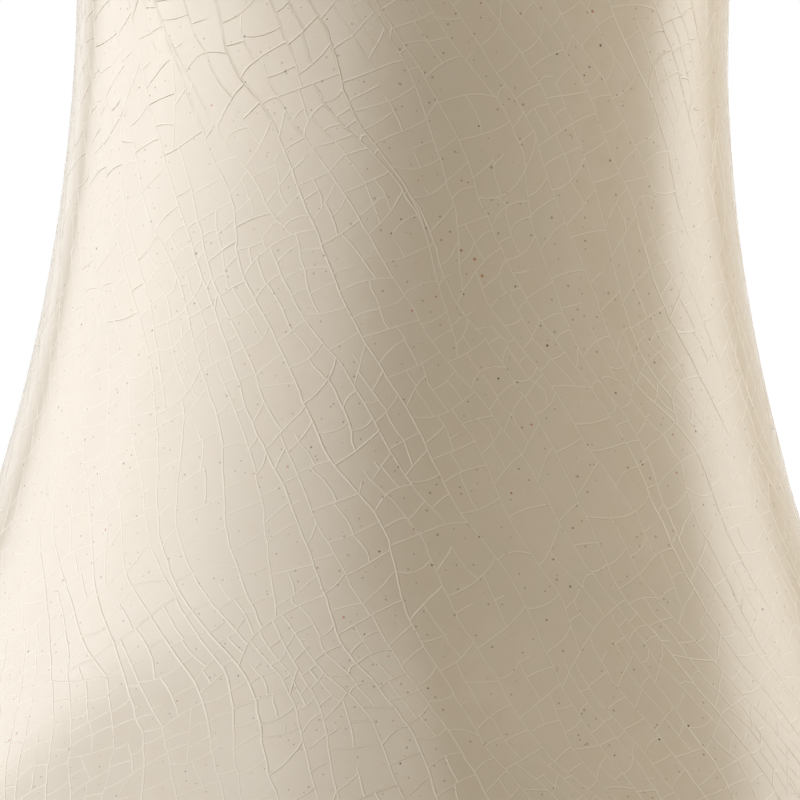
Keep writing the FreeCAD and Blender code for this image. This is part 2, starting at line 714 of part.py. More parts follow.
def finial():
    """Turned brass finial: flared base, collar, ball and tip, bored for the stud."""
    bore = STUD_THREAD_RADIUS + FINIAL_BORE_GAP
    depth = STUD_THREAD_LENGTH - SPIDER_HUB_THICKNESS + THREAD_PITCH
    ball_z = FINIAL_HEIGHT - FINIAL_TIP_RADIUS - FINIAL_BALL_RADIUS
    neck_turn = math.acos(FINIAL_NECK_RADIUS / FINIAL_BALL_RADIUS)
    tip_turn = math.acos(FINIAL_TIP_RADIUS / FINIAL_BALL_RADIUS)
    ball_low = (FINIAL_NECK_RADIUS, ball_z - FINIAL_BALL_RADIUS * math.sin(neck_turn))
    ball_high = (FINIAL_TIP_RADIUS, ball_z + FINIAL_BALL_RADIUS * math.sin(tip_turn))
    flare_z = ball_low[1] / 3
    flare_mid = (
        FINIAL_NECK_RADIUS + (FINIAL_BASE_RADIUS - FINIAL_NECK_RADIUS) / 4,
        flare_z + (ball_low[1] - flare_z) / 4,
    )
    tip_rise = FINIAL_HEIGHT - ball_high[1]
    tip_round = (tip_rise**2 + FINIAL_TIP_RADIUS**2) / (2 * tip_rise)
    tip_half = math.asin(FINIAL_TIP_RADIUS / tip_round) / 2
    tip_top = (0, FINIAL_HEIGHT)
    tip_mid = (tip_round * math.sin(tip_half), FINIAL_HEIGHT - tip_round * (1 - math.cos(tip_half)))
    edges = [
        line((0, 0), (FINIAL_BASE_RADIUS, 0)),
        line((FINIAL_BASE_RADIUS, 0), (FINIAL_BASE_RADIUS, flare_z)),
        arc((FINIAL_BASE_RADIUS, flare_z), flare_mid, ball_low),
        arc(ball_low, (FINIAL_BALL_RADIUS, ball_z), ball_high),
        arc(ball_high, tip_mid, tip_top),
        line(tip_top, (0, 0)),
    ]
    return raised(turned_edges(edges).cut(cylinder(bore, -1, depth)), SPIDER_TOP_Z)


# Socket heights above its seat on the lock nut
SOCKET_CUP_HEIGHT = SHELL_SEAT + SOCKET_CUP_LAP
SHELL_BORE = SHELL_RADIUS - SHELL_SHEET
LINER_RADIUS = SHELL_BORE - LINER_GAP
LINER_BORE = LINER_RADIUS - LINER_THICKNESS
BODY_RADIUS = LINER_BORE - BODY_GAP
BODY_TOP = BODY_SEAT + BODY_HEIGHT
STEM_LEVEL = BODY_SEAT + BODY_HEIGHT / 2
STEM_Z = SOCKET_Z + STEM_LEVEL
SET_SCREW_Z = SOCKET_Z + SHELL_SEAT / 4


def socket_cap():
    """Brass cup that screws on the rod and takes the socket's shell."""
    bore = ROD_RADIUS + THREAD_GAP
    inner = SOCKET_CUP_RADIUS - SOCKET_SHEET
    turn_low = SHELL_SEAT / 2
    rim_low = SHELL_SEAT - SOCKET_SHEET / 2
    out_mid = (
        SOCKET_HUB_RADIUS + (SOCKET_CUP_RADIUS - SOCKET_HUB_RADIUS) * SOCKET_CUP_BOW,
        turn_low + (rim_low - turn_low) * (1 - SOCKET_CUP_BOW),
    )
    step = SOCKET_SHEET
    in_low = (SOCKET_HUB_RADIUS + step, turn_low + step)
    in_mid = (out_mid[0] - step / 2, out_mid[1] + step)
    edges = [
        line((bore, 0), (SOCKET_HUB_RADIUS, 0)),
        line((SOCKET_HUB_RADIUS, 0), (SOCKET_HUB_RADIUS, turn_low)),
        arc((SOCKET_HUB_RADIUS, turn_low), out_mid, (SOCKET_CUP_RADIUS, rim_low)),
        line((SOCKET_CUP_RADIUS, rim_low), (SOCKET_CUP_RADIUS, SOCKET_CUP_HEIGHT)),
        line((SOCKET_CUP_RADIUS, SOCKET_CUP_HEIGHT), (inner, SOCKET_CUP_HEIGHT)),
        line((inner, SOCKET_CUP_HEIGHT), (inner, rim_low)),
        arc((inner, rim_low), in_mid, in_low),
        line(in_low, (SOCKET_HUB_RADIUS, in_low[1])),
        line((SOCKET_HUB_RADIUS, in_low[1]), (SOCKET_HUB_RADIUS, SOCKET_HUB_HEIGHT)),
        line((SOCKET_HUB_RADIUS, SOCKET_HUB_HEIGHT), (bore, SOCKET_HUB_HEIGHT)),
        line((bore, SOCKET_HUB_HEIGHT), (bore, 0)),
    ]
    shape = raised(turned_edges(edges), SOCKET_Z)
    return shape.cut(along(vec(0, 0, SET_SCREW_Z), BACK, SET_SCREW_RADIUS + FIT_GAP, SOCKET_CUP_RADIUS))


def socket_set_screw():
    """Slotted set screw in the hub of the socket's cap, which grips the rod."""
    start = vec(0, ROD_RADIUS + FIT_GAP, SET_SCREW_Z)
    screw = along(start, BACK, SET_SCREW_RADIUS, SET_SCREW_LENGTH)
    slot_depth = SET_SCREW_RADIUS / 2
    slot_width = SET_SCREW_RADIUS / 3
    slot_y = start.y + SET_SCREW_LENGTH - slot_depth
    corner = vec(-SET_SCREW_RADIUS, slot_y, SET_SCREW_Z - slot_width / 2)
    return screw.cut(Part.makeBox(2 * SET_SCREW_RADIUS, 2 * slot_depth, slot_width, corner))


def stem_hole():
    """The round hole that the switch's stem passes through in the shell and its liner."""
    return along(vec(0, 0, STEM_Z), FRONT, STEM_RADIUS + STEM_HOLE_GAP, 2 * SHELL_RADIUS)


def socket_shell():
    """Thin brass shell with a bead under its open rim."""
    top = SHELL_SEAT + SHELL_HEIGHT
    bead = SHELL_SHEET
    outline = [
        (SHELL_BORE, SHELL_SEAT),
        (SHELL_RADIUS, SHELL_SEAT),
        (SHELL_RADIUS, top - 5 * bead),
        (SHELL_RADIUS + bead, top - 4 * bead),
        (SHELL_RADIUS + bead, top - bead),
        (SHELL_RADIUS, top),
        (SHELL_BORE, top),
    ]
    return raised(turned(outline), SOCKET_Z).cut(stem_hole())


def socket_liner():
    """Cardboard insulating sleeve inside the shell."""
    high = SHELL_SEAT + SHELL_HEIGHT - 3 * SHELL_SHEET
    shape = tube(LINER_RADIUS, LINER_BORE, SHELL_SEAT + SHELL_SHEET, high)
    return raised(shape, SOCKET_Z).cut(stem_hole())


TERMINAL_FACE_X = BODY_RADIUS - 2 * TERMINAL_HEAD_HEIGHT


def terminal_notch(side):
    """The flat cut in the side of the socket's body where a terminal screw sits."""
    size = 2 * TERMINAL_HEAD_RADIUS + 2
    left = TERMINAL_FACE_X if side > 0 else -2 * BODY_RADIUS
    width = 2 * BODY_RADIUS - TERMINAL_FACE_X
    return Part.makeBox(width, size, size, vec(left, -size / 2, STEM_LEVEL - size / 2))


def socket_body():
    """Moulded body that holds the switch, the terminals and the screw shell."""
    shape = cylinder(BODY_RADIUS, BODY_SEAT, BODY_TOP)
    for side in (-1, 1):
        shape = shape.cut(terminal_notch(side))
        face = vec(side * TERMINAL_FACE_X, 0, STEM_LEVEL)
        inward = vec(-side, 0, 0)
        shape = shape.cut(along(face, inward, TERMINAL_SHANK_RADIUS + FIT_GAP, TERMINAL_DEPTH + FIT_GAP))
    shape = raised(shape, SOCKET_Z)
    inner = vec(0, STEM_INNER_Y + FIT_GAP, STEM_Z)
    return shape.cut(along(inner, FRONT, STEM_RADIUS + STEM_GAP, 2 * BODY_RADIUS))


def terminal_screws():
    """The two terminal screws, one each side of the body."""
    screws = []
    for side in (-1, 1):
        face = vec(side * TERMINAL_FACE_X, 0, STEM_Z)
        outward = vec(side, 0, 0)
        head = along(face, outward, TERMINAL_HEAD_RADIUS, TERMINAL_HEAD_HEIGHT)
        shank = along(face, vec(-side, 0, 0), TERMINAL_SHANK_RADIUS, TERMINAL_DEPTH)
        screws.append(head.fuse(shank).removeSplitter())
    return Part.makeCompound(screws)


def screw_shell():
    """Thin ringed shell that takes the bulb's screw, with a flange on the body's top."""
    wall = SCREW_SHELL_SHEET
    low = BODY_TOP
    top = low + SCREW_SHELL_HEIGHT
    rings = ringed(SCREW_SHELL_RADIUS, SCREW_DEPTH, SCREW_PITCH, low + 2 * wall, top)
    inside = [(r - wall, z) for r, z in reversed(rings)]
    outline = [(CONTACT_WIDTH, low), (SCREW_SHELL_RADIUS, low)] + rings + inside
    outline += [(SCREW_SHELL_RADIUS - wall, low + wall), (CONTACT_WIDTH, low + wall)]
    return raised(turned(outline), SOCKET_Z)


def centre_contact():
    """Folded brass tongue in the middle of the socket that meets the bulb's tip."""
    sheet = SHELL_SHEET
    half = CONTACT_LENGTH / 2
    top = BODY_TOP + CONTACT_RISE
    outline = [
        (-half, BODY_TOP),
        (half, BODY_TOP),
        (half, BODY_TOP + sheet),
        (sheet - half, BODY_TOP + sheet),
        (sheet - half, top - sheet),
        (half, top - sheet),
        (half, top),
        (-half, top),
    ]
    strip = polygon(outline).extrude(vec(0, CONTACT_WIDTH, 0))
    strip.translate(vec(0, -CONTACT_WIDTH / 2, SOCKET_Z))
    return strip


KNOB_INNER_Y = STEM_REACH - KNOB_LENGTH / 2


def switch_stem():
    return along(vec(0, STEM_INNER_Y, STEM_Z), FRONT, STEM_RADIUS, STEM_REACH + STEM_INNER_Y)


def switch_knob():
    """Fluted turning knob on the stem's outer end."""
    low = KNOB_INNER_Y
    high = low + KNOB_LENGTH
    edge = KNOB_RADIUS / 5
    outline = [(0, low), (KNOB_RADIUS - edge, low), (KNOB_RADIUS, low + edge)]
    outline += [(KNOB_RADIUS, high - 2 * edge), (KNOB_RADIUS - 2 * edge, high), (0, high)]
    knob = turned(outline)
    flute = KNOB_RADIUS * math.pi / KNOB_FLUTES / 2
    for angle in around(KNOB_FLUTES):
        groove = cylinder(flute, low - 1, high + 1)
        groove.translate(vec(KNOB_RADIUS + flute / 2, 0, 0))
        groove.rotate(vec(0, 0, 0), UP, angle)
        knob = knob.cut(groove)
    knob = knob.cut(cylinder(STEM_RADIUS + FIT_GAP, low - 1, STEM_REACH + FIT_GAP))
    knob.rotate(vec(0, 0, 0), vec(1, 0, 0), 90)
    return raised(knob, STEM_Z)


# Bulb heights above the socket's seat
TIP_LOW = BODY_TOP + CONTACT_RISE + BULB_TIP_GAP
TIP_TOP = TIP_LOW + BULB_TIP_HEIGHT
CONE_TOP = TIP_TOP + BULB_CONE_HEIGHT
SCREW_TOP = CONE_TOP + BULB_SCREW_LENGTH
GLASS_LOW = SCREW_TOP - BULB_NECK_DEPTH
GLASS_TOP = SCREW_TOP + BULB_GLASS_HEIGHT
BULB_CENTRE = GLASS_TOP - BULB_RADIUS
CONE_RADIUS = BULB_SCREW_RADIUS - 2 * SCREW_DEPTH - BULB_SCREW_SHEET


def bulb_tip():
    """Rounded solder contact at the bottom of the bulb."""
    edge = BULB_TIP_HEIGHT / 2
    outline = [(0, TIP_LOW), (BULB_TIP_RADIUS - edge, TIP_LOW), (BULB_TIP_RADIUS, TIP_LOW + edge)]
    outline += [(BULB_TIP_RADIUS, TIP_TOP), (0, TIP_TOP)]
    return raised(turned(outline), SOCKET_Z)


def bulb_insulator():
    """Glass insulator between the tip and the screw, coned outwards."""
    outline = [(0, TIP_TOP), (BULB_TIP_RADIUS, TIP_TOP), (CONE_RADIUS, CONE_TOP), (0, CONE_TOP)]
    return raised(turned(outline), SOCKET_Z)


def bulb_screw():
    """Ringed metal screw of the bulb, a thin shell round the glass neck."""
    wall = BULB_SCREW_SHEET
    bore = BULB_SCREW_RADIUS - SCREW_DEPTH - wall
    rings = ringed(BULB_SCREW_RADIUS, SCREW_DEPTH, SCREW_PITCH, CONE_TOP + wall, SCREW_TOP)
    inside = [(bore, SCREW_TOP), (bore, CONE_TOP + wall)]
    outline = [(BULB_TIP_RADIUS, CONE_TOP), (BULB_SCREW_RADIUS - wall, CONE_TOP)] + rings + inside
    outline += [(BULB_TIP_RADIUS, CONE_TOP + wall)]
    return raised(turned(outline), SOCKET_Z)


def glass_edges(depth):
    """Outline of the glass at a depth: straight neck, flare and round crown."""
    neck = BULB_NECK_RADIUS - depth
    flare = BULB_NECK_CURVE + depth
    crown = BULB_RADIUS - depth
    centre_r = BULB_NECK_RADIUS + BULB_NECK_CURVE
    drop = math.sqrt((BULB_NECK_CURVE + BULB_RADIUS) ** 2 - centre_r**2)
    turn = math.atan2(drop, centre_r)
    flare_z = BULB_CENTRE - drop
    join = (crown * math.cos(turn), BULB_CENTRE - crown * math.sin(turn))
    flare_mid = (centre_r - flare * math.cos(turn / 2), flare_z + flare * math.sin(turn / 2))
    top = (0, BULB_CENTRE + crown)
    side = (math.pi / 2 - turn) / 2
    crown_mid = (crown * math.cos(side), BULB_CENTRE + crown * math.sin(side))
    return [
        line((neck, GLASS_LOW), (neck, flare_z)),
        arc((neck, flare_z), flare_mid, join),
        arc(join, crown_mid, top),
        line(top, (0, GLASS_LOW)),
        line((0, GLASS_LOW), (neck, GLASS_LOW)),
    ]


def bulb_glass():
    """Blown glass envelope of the bulb, open at the neck."""
    return raised(turned_edges(glass_edges(0)).cut(turned_edges(glass_edges(BULB_GLASS))), SOCKET_Z)


MOUNT_TOP = BULB_CENTRE - STEM_GLASS_DROP


def bulb_mount():
    """Glass stem inside the neck that carries the lead wires."""
    flare = BULB_NECK_RADIUS - BULB_GLASS - FIT_GAP
    outline = [
        (0, GLASS_LOW),
        (flare, GLASS_LOW),
        (flare, GLASS_LOW + BULB_GLASS),
        (STEM_GLASS_RADIUS, GLASS_LOW + flare),
        (STEM_GLASS_RADIUS, MOUNT_TOP),
        (0, MOUNT_TOP),
    ]
    return raised(turned(outline), SOCKET_Z)


def lead_wires():
    """Two wires that lean out from the glass stem to the ends of the filament."""
    wires = []
    low = SOCKET_Z + MOUNT_TOP + 2 * FIT_GAP
    high = SOCKET_Z + BULB_CENTRE + 2 * FILAMENT_RADIUS
    for side in (-1, 1):
        start = vec(side * STEM_GLASS_RADIUS / 2, 0, low)
        end = vec(side * FILAMENT_HALF_SPAN, 0, high)
        wire = along(start, end - start, LEAD_RADIUS, (end - start).Length)
        wires.append(wire.cut(cylinder(STEM_GLASS_RADIUS, low - BULB_RADIUS, low)))
    return Part.makeCompound(wires)


def filament():
    """Tungsten coil between the lead wires, as a plain rod of its outer size."""
    reach = FILAMENT_HALF_SPAN - LEAD_RADIUS - 4 * FIT_GAP - FILAMENT_RADIUS
    start = vec(-reach, 0, SOCKET_Z + BULB_CENTRE)
    return along(start, vec(1, 0, 0), FILAMENT_RADIUS, 2 * reach)


# Shade: a cone of cloth on a stiff liner, wire rings at its edges and a welded spider
SPIDER_WIRE_Z = SPIDER_TOP_Z
TOP_RING_Z = SPIDER_WIRE_Z + SPIDER_DROP
SHADE_TOP_Z = TOP_RING_Z + RING_WIRE_RADIUS + RING_GAP
SHADE_LOW_Z = SHADE_TOP_Z - SHADE_HEIGHT
BOTTOM_RING_Z = SHADE_LOW_Z + RING_WIRE_RADIUS + RING_GAP
LAYERS = SHADE_CLOTH + SHADE_LAYER_GAP + SHADE_LINER


def shade_radius(z):
    """Outer radius of the cloth at a height."""
    share = (SHADE_TOP_Z - z) / SHADE_HEIGHT
    return SHADE_TOP_RADIUS + (SHADE_BOTTOM_RADIUS - SHADE_TOP_RADIUS) * share


def cone_shell(outer, inner):
    """A layer of the shade between two depths inside the cloth's outer face."""
    low = shade_radius(SHADE_LOW_Z)
    high = shade_radius(SHADE_TOP_Z)
    return turned(
        [
            (low - inner, SHADE_LOW_Z),
            (low - outer, SHADE_LOW_Z),
            (high - outer, SHADE_TOP_Z),
            (high - inner, SHADE_TOP_Z),
        ]
    )


def ring_radius(z):
    """Radius of a ring wire's middle line at a height, just inside the liner."""
    taper = math.atan2(SHADE_BOTTOM_RADIUS - SHADE_TOP_RADIUS, SHADE_HEIGHT)
    return shade_radius(z) - LAYERS - (RING_WIRE_RADIUS + RING_GAP) / math.cos(taper)


def ring_wire(z):
    return raised(Part.makeTorus(ring_radius(z), RING_WIRE_RADIUS), z)


def shade_trim(edge_z, inward):
    """Bias tape round one edge of the shade: a band outside and a lip over the edge."""
    inner_z = edge_z + inward * TRIM_WIDTH
    lip_z = edge_z - inward * TRIM_THICKNESS
    face = SHADE_LAYER_GAP
    skin = face + TRIM_THICKNESS
    return turned(
        [
            (shade_radius(inner_z) + face, inner_z),
            (shade_radius(inner_z) + skin, inner_z),
            (shade_radius(edge_z) + skin, lip_z),
            (shade_radius(edge_z) - LAYERS, lip_z),
            (shade_radius(edge_z) - LAYERS, edge_z),
            (shade_radius(edge_z) + face, edge_z),
        ]
    )


def spider_arm(angle):
    """One arm: a wire from the hub out to the top ring, with one bend up."""
    bend = SPIDER_DROP / 2
    reach = ring_radius(TOP_RING_Z)
    start = (SPIDER_HUB_RADIUS - SPIDER_WIRE_RADIUS, SPIDER_WIRE_Z)
    turn_start = (reach - bend, SPIDER_WIRE_Z)
    soft = bend * (1 - math.sqrt(0.5))
    turn_mid = (reach - soft, SPIDER_WIRE_Z + soft)
    turn_end = (reach, SPIDER_WIRE_Z + bend)
    edges = [
        line(start, turn_start),
        arc(turn_start, turn_mid, turn_end),
        line(turn_end, (reach, TOP_RING_Z)),
    ]
    circle = Part.makeCircle(SPIDER_WIRE_RADIUS, vec(start[0], 0, start[1]), vec(1, 0, 0))
    arm = Part.Wire(edges).makePipeShell([Part.Wire([circle])], True, False)
    arm.rotate(vec(0, 0, 0), UP, angle)
    return arm


def shade_spider():
    """Welded fitter of the shade: drilled hub, arms and top ring."""
    shape = cylinder(SPIDER_HUB_RADIUS, SPIDER_Z, SPIDER_TOP_Z).fuse(ring_wire(TOP_RING_Z))
    for angle in around(SPIDER_ARMS):
        shape = shape.fuse(spider_arm(angle + 90))
    hole = cylinder(STUD_THREAD_RADIUS + SPIDER_HOLE_GAP, SPIDER_Z - 1, SPIDER_TOP_Z + SPIDER_DROP)
    return shape.cut(hole)


NODES = {
    "felt_pad": felt_pad,
    "base_plinth": base_plinth,
    "cord_bushing": cord_bushing,
    "foot_gasket": foot_gasket,
    "gourd_body": gourd_body,
    "mouth_gasket": mouth_gasket,
    "vase_cap": vase_cap,
    "threaded_rod": threaded_rod,
    "rod_washer": rod_washer,
    "base_nut": lambda: hex_nut(BASE_NUT_Z),
    "check_ring": check_ring,
    "neck_tube": neck_tube,
    "harp_saddle": harp_saddle,
    "lock_nut": lambda: hex_nut(LOCK_NUT_Z),
    "socket_cap": socket_cap,
    "socket_set_screw": socket_set_screw,
    "socket_shell": socket_shell,
    "socket_liner": socket_liner,
    "socket_body": socket_body,
    "terminal_screws": terminal_screws,
    "screw_shell": screw_shell,
    "centre_contact": centre_contact,
    "switch_stem": switch_stem,
    "switch_knob": switch_knob,
    "bulb_tip": bulb_tip,
    "bulb_insulator": bulb_insulator,
    "bulb_screw": bulb_screw,
    "bulb_glass": bulb_glass,
    "bulb_mount": bulb_mount,
    "lead_wires": lead_wires,
    "filament": filament,
    "harp_bow": harp_bow,
    "harp_sleeve_left": lambda: harp_sleeve(-1),
    "harp_sleeve_right": lambda: harp_sleeve(1),
    "harp_stud": harp_stud,
    "shade_cloth": lambda: cone_shell(0, SHADE_CLOTH),
    "shade_liner": lambda: cone_shell(SHADE_CLOTH + SHADE_LAYER_GAP, LAYERS),
    "shade_spider": shade_spider,
    "shade_bottom_ring": lambda: ring_wire(BOTTOM_RING_Z),
    "shade_top_trim": lambda: shade_trim(SHADE_TOP_Z, -1),
    "shade_bottom_trim": lambda: shade_trim(SHADE_LOW_Z, 1),
    "finial": finial,
}


def main():
    os.makedirs("parts", exist_ok=True)
    for name, make in NODES.items():
        save(name, make())
    print("waist above table", round(GOURD_Z + WAIST_Z, 2), "mouth", round(MOUTH_Z, 2))
    print("harp foot", round(HARP_FOOT_Z, 2), "harp top", round(HARP_TOP_Z, 2), "stem", round(STEM_Z, 2))
    print("shade", round(SHADE_LOW_Z, 2), round(SHADE_TOP_Z, 2), "spider", round(SPIDER_Z, 2))
    print("bulb centre", round(SOCKET_Z + BULB_CENTRE, 2), "socket", round(SOCKET_Z, 2), "cord", CORD_Z)


main()
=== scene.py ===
"""Looks of the double gourd table lamp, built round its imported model.

A length is in millimetres, with the same name as in the part's source, and turns to metres where a
mesh is made; one that is in metres says so. The front of the lamp is -Y, and angles run from the
front to the right.
"""

from __future__ import annotations

import json
import logging
import math
from dataclasses import dataclass
from enum import Enum

import bpy
import numpy as np
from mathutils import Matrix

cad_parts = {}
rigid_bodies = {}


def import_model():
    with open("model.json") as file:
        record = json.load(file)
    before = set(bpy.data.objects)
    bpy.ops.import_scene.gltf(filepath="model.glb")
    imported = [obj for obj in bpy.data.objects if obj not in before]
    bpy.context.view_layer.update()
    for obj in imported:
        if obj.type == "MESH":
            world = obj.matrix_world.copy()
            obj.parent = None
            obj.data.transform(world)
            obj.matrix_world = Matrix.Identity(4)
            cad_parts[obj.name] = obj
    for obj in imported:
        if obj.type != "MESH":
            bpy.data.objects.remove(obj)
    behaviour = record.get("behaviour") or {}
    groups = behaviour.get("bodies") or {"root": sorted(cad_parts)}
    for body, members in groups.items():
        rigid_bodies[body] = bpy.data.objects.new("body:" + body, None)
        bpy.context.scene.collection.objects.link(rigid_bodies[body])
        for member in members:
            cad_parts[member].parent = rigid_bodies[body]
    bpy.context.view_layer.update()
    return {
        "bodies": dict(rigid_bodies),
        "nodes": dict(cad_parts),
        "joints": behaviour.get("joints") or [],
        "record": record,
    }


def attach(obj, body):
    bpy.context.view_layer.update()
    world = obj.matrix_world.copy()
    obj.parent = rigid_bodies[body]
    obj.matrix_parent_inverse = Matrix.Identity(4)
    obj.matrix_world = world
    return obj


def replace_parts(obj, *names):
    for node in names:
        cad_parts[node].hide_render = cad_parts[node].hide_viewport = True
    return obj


LOG = logging.getLogger("lamp")
MM = 0.001
FULL_TURN = 2.0 * math.pi
# Girth of the body halfway between its waist and its belly, from which the ripples count their waves
MIDDLE_GIRTH = 420.0
TINY = 1e-6
Array = np.ndarray
Pair = tuple[float, float]
Random = np.random.Generator
Material = bpy.types.Material
Piece = bpy.types.Object
Socket = bpy.types.NodeSocket
Tree = bpy.types.NodeTree


# Colour and node helpers


def linear(code: str) -> tuple[float, float, float, float]:
    """Turns an sRGB hex colour into the linear colour that Blender's sockets hold.

    Args:
        code: the colour as six hex digits.

    Returns:
        Red, green, blue and an alpha of one.
    """
    parts = np.array([int(code[i : i + 2], 16) for i in (0, 2, 4)]) / 255.0
    curve = np.where(parts <= 0.04045, parts / 12.92, ((parts + 0.055) / 1.055) ** 2.4)
    return (float(curve[0]), float(curve[1]), float(curve[2]), 1.0)


def add(tree: Tree, kind: str, links: dict | None = None, **settings) -> bpy.types.Node:
    """Adds one node to a tree, with its settings and what feeds it.

    Args:
        tree: the node tree of a material, a light or the world.
        kind: Blender's type name of the node.
        links: socket name or number to a value, or to the output socket that feeds it.
        **settings: the node's own properties.

    Returns:
        The new node.
    """
    node = tree.nodes.new(kind)
    for name, value in settings.items():
        setattr(node, name, value)
    for key, value in (links or {}).items():
        if isinstance(value, Socket):
            tree.links.new(value, node.inputs[key])
        else:
            node.inputs[key].default_value = value
    return node


def mix(tree: Tree, share: Socket, first: str | Socket, second: str | Socket) -> Socket:
    """Blends two colours, each a hex colour or a socket, by a share from 0 to 1."""
    ends = [linear(end) if isinstance(end, str) else end for end in (first, second)]
    return add(tree, "ShaderNodeMix", {0: share, 6: ends[0], 7: ends[1]}, data_type="RGBA").outputs[2]


def blend(tree: Tree, share: Socket, first: float | Socket, second: float | Socket) -> Socket:
    """Blends two numbers by a share from 0 to 1."""
    return add(tree, "ShaderNodeMix", {0: share, 2: first, 3: second}, data_type="FLOAT").outputs[0]


def reckon(tree: Tree, operation: str, first: Socket, second: float | Socket) -> Socket:
    """Puts two numbers through one of Blender's operations."""
    return add(tree, "ShaderNodeMath", {0: first, 1: second}, operation=operation).outputs[0]


def stretch(tree: Tree, place: Socket, factors: tuple[float, float, float]) -> Socket:
    """Multiplies coordinates by a factor each way."""
    return add(tree, "ShaderNodeVectorMath", {0: place, 1: factors}, operation="MULTIPLY").outputs[0]


def noise(tree: Tree, place: Socket, size: float, detail: float = 2.0, roughness: float = 0.5) -> Socket:
    """Soft random marks of about one size, from 0 to 1, on coordinates in metres."""
    marks = {0: place, "Scale": 1.0 / (size * MM), "Detail": detail, "Roughness": roughness}
    return add(tree, "ShaderNodeTexNoise", marks).outputs[0]


def spread(tree: Tree, value: Socket, span: Pair, result: Pair = (0.0, 1.0), kind: str = "LINEAR") -> Socket:
    """Turns a value within a span into one within the result, which it never leaves.

    Args:
        tree: the node tree.
        value: the value.
        span: the two values at which the ends of the result are reached.
        result: the two ends of the result.
        kind: LINEAR for a straight way between them, or SMOOTHSTEP for one without corners.

    Returns:
        The result.
    """
    ends = {"From Min": span[0], "From Max": span[1], "To Min": result[0], "To Max": result[1]}
    return add(tree, "ShaderNodeMapRange", {"Value": value, **ends}, interpolation_type=kind).outputs[0]


def emboss(tree: Tree, height: Socket, depth: float, invert: bool = False) -> Socket:
    """Turns a height from 0 to 1 into a surface's fine relief of some depth."""
    return add(tree, "ShaderNodeBump", {"Height": height, "Distance": depth * MM}, invert=invert).outputs[0]


def seen_straight(tree: Tree) -> Socket:
    """One where the camera looks, also through clear glass, and zero for all other light."""
    path = add(tree, "ShaderNodeLightPath").outputs
    return reckon(tree, "MAXIMUM", path["Is Camera Ray"], path["Is Transmission Ray"])


def start_material(name: str) -> tuple[Material, Tree]:
    """Makes an empty material and returns it with its node tree."""
    material = bpy.data.materials.new(name)
    material.use_nodes = True
    material.node_tree.nodes.clear()
    return material, material.node_tree


def object_place(tree: Tree) -> Socket:
    """The coordinates of the piece itself, in metres."""
    return add(tree, "ShaderNodeTexCoord").outputs["Object"]


def finish(material: Material, shader: dict) -> Material:
    """Ends a material in one principled surface with the given inputs."""
    surface = add(material.node_tree, "ShaderNodeBsdfPrincipled", shader)
    add(material.node_tree, "ShaderNodeOutputMaterial", {0: surface.outputs[0]})
    return material


# Mesh helpers


def grid_faces(rows: int, columns: int, ring: bool, loop: bool) -> Array:
    """Quads of a grid whose points run along each row, and whose rows follow each other.

    Args:
        rows: how many rows of points.
        columns: how many points in a row.
        ring: whether the last column joins the first.
        loop: whether the last row joins the first.

    Returns:
        Four point numbers for each quad.
    """
    row, column = np.meshgrid(
        np.arange(rows if loop else rows - 1), np.arange(columns if ring else columns - 1), indexing="ij"
    )
    low, high = row * columns, (row + 1) % rows * columns
    after = (column + 1) % columns
    corners = (low + column, low + after, high + after, high + column)
    return np.stack(corners, axis=-1).reshape(-1, 4)


def make_mesh(name: str, points: Array, quads: Array, flat: Array | None = None) -> Piece:
    """Makes a smooth object from points in millimetres and quads.

    Args:
        name: the piece's name.
        points: one row of x, y and z for each point.
        quads: four point numbers for each face.
        flat: the place of each corner of each quad on the flat material, in millimetres.

    Returns:
        The new object, at the origin.
    """
    mesh = bpy.data.meshes.new(name)
    mesh.vertices.add(len(points))
    mesh.vertices.foreach_set("co", (points * MM).astype(np.float32).ravel())
    mesh.loops.add(quads.size)
    mesh.loops.foreach_set("vertex_index", quads.astype(np.int32).ravel())
    mesh.polygons.add(len(quads))
    mesh.polygons.foreach_set("loop_start", np.arange(0, quads.size, 4, dtype=np.int32))
    mesh.update(calc_edges=True)
    if flat is not None:
        mesh.uv_layers.new(name="flat").data.foreach_set("uv", flat.astype(np.float32).ravel())
    mesh.shade_smooth()
    piece = bpy.data.objects.new(name, mesh)
    bpy.context.scene.collection.objects.link(piece)
    return piece


def ripple(turn: Array, rise: Array, seed: int, longest: float, count: int = 7) -> Array:
    """A smooth random field round the body, from about -1 to 1, that closes on itself.

    It is a sum of sine waves: each has a whole number of waves round the body, a wavelength up
    it that falls from the longest to a third of that, and a random phase.

    Args:
        turn: place round the body, in turns.
        rise: place up the body, in millimetres.
        seed: which field it is.
        longest: the longest wavelength, in millimetres.
        count: how many waves are added.

    Returns:
        The field at each place.
    """
    rng = np.random.default_rng(seed)
    length = longest / np.linspace(1.0, 3.0, count)
    around = np.round(rng.uniform(-1.0, 1.0, count) * MIDDLE_GIRTH / length)
    phase = rng.uniform(0.0, FULL_TURN, count)
    waves = np.sin(FULL_TURN * (around * turn[..., None] + rise[..., None] / length) + phase)
    return waves.sum(axis=-1) / math.sqrt(count)


@dataclass(frozen=True)
class Arc:
    """One round run of an outline: its centre, its radius and its two angles from the horizontal."""

    centre: tuple[float, float]
    radius: float
    start: float
    end: float
    side: float = 1.0

    def points(self, depth: float, step: float) -> Array:
        """Radius and height along the arc, at a depth inside the clay.

        Args:
            depth: how far inside the surface, in millimetres.
            step: the longest step between points.

        Returns:
            One row of radius and height for each point, without the last.
        """
        count = max(2, math.ceil(abs(self.end - self.start) * self.radius / step))
        angle = np.linspace(self.start, self.end, count, endpoint=False)
        reach = self.side * self.radius - depth
        return reach * np.stack([np.cos(angle), np.sin(angle)], axis=1) + self.centre


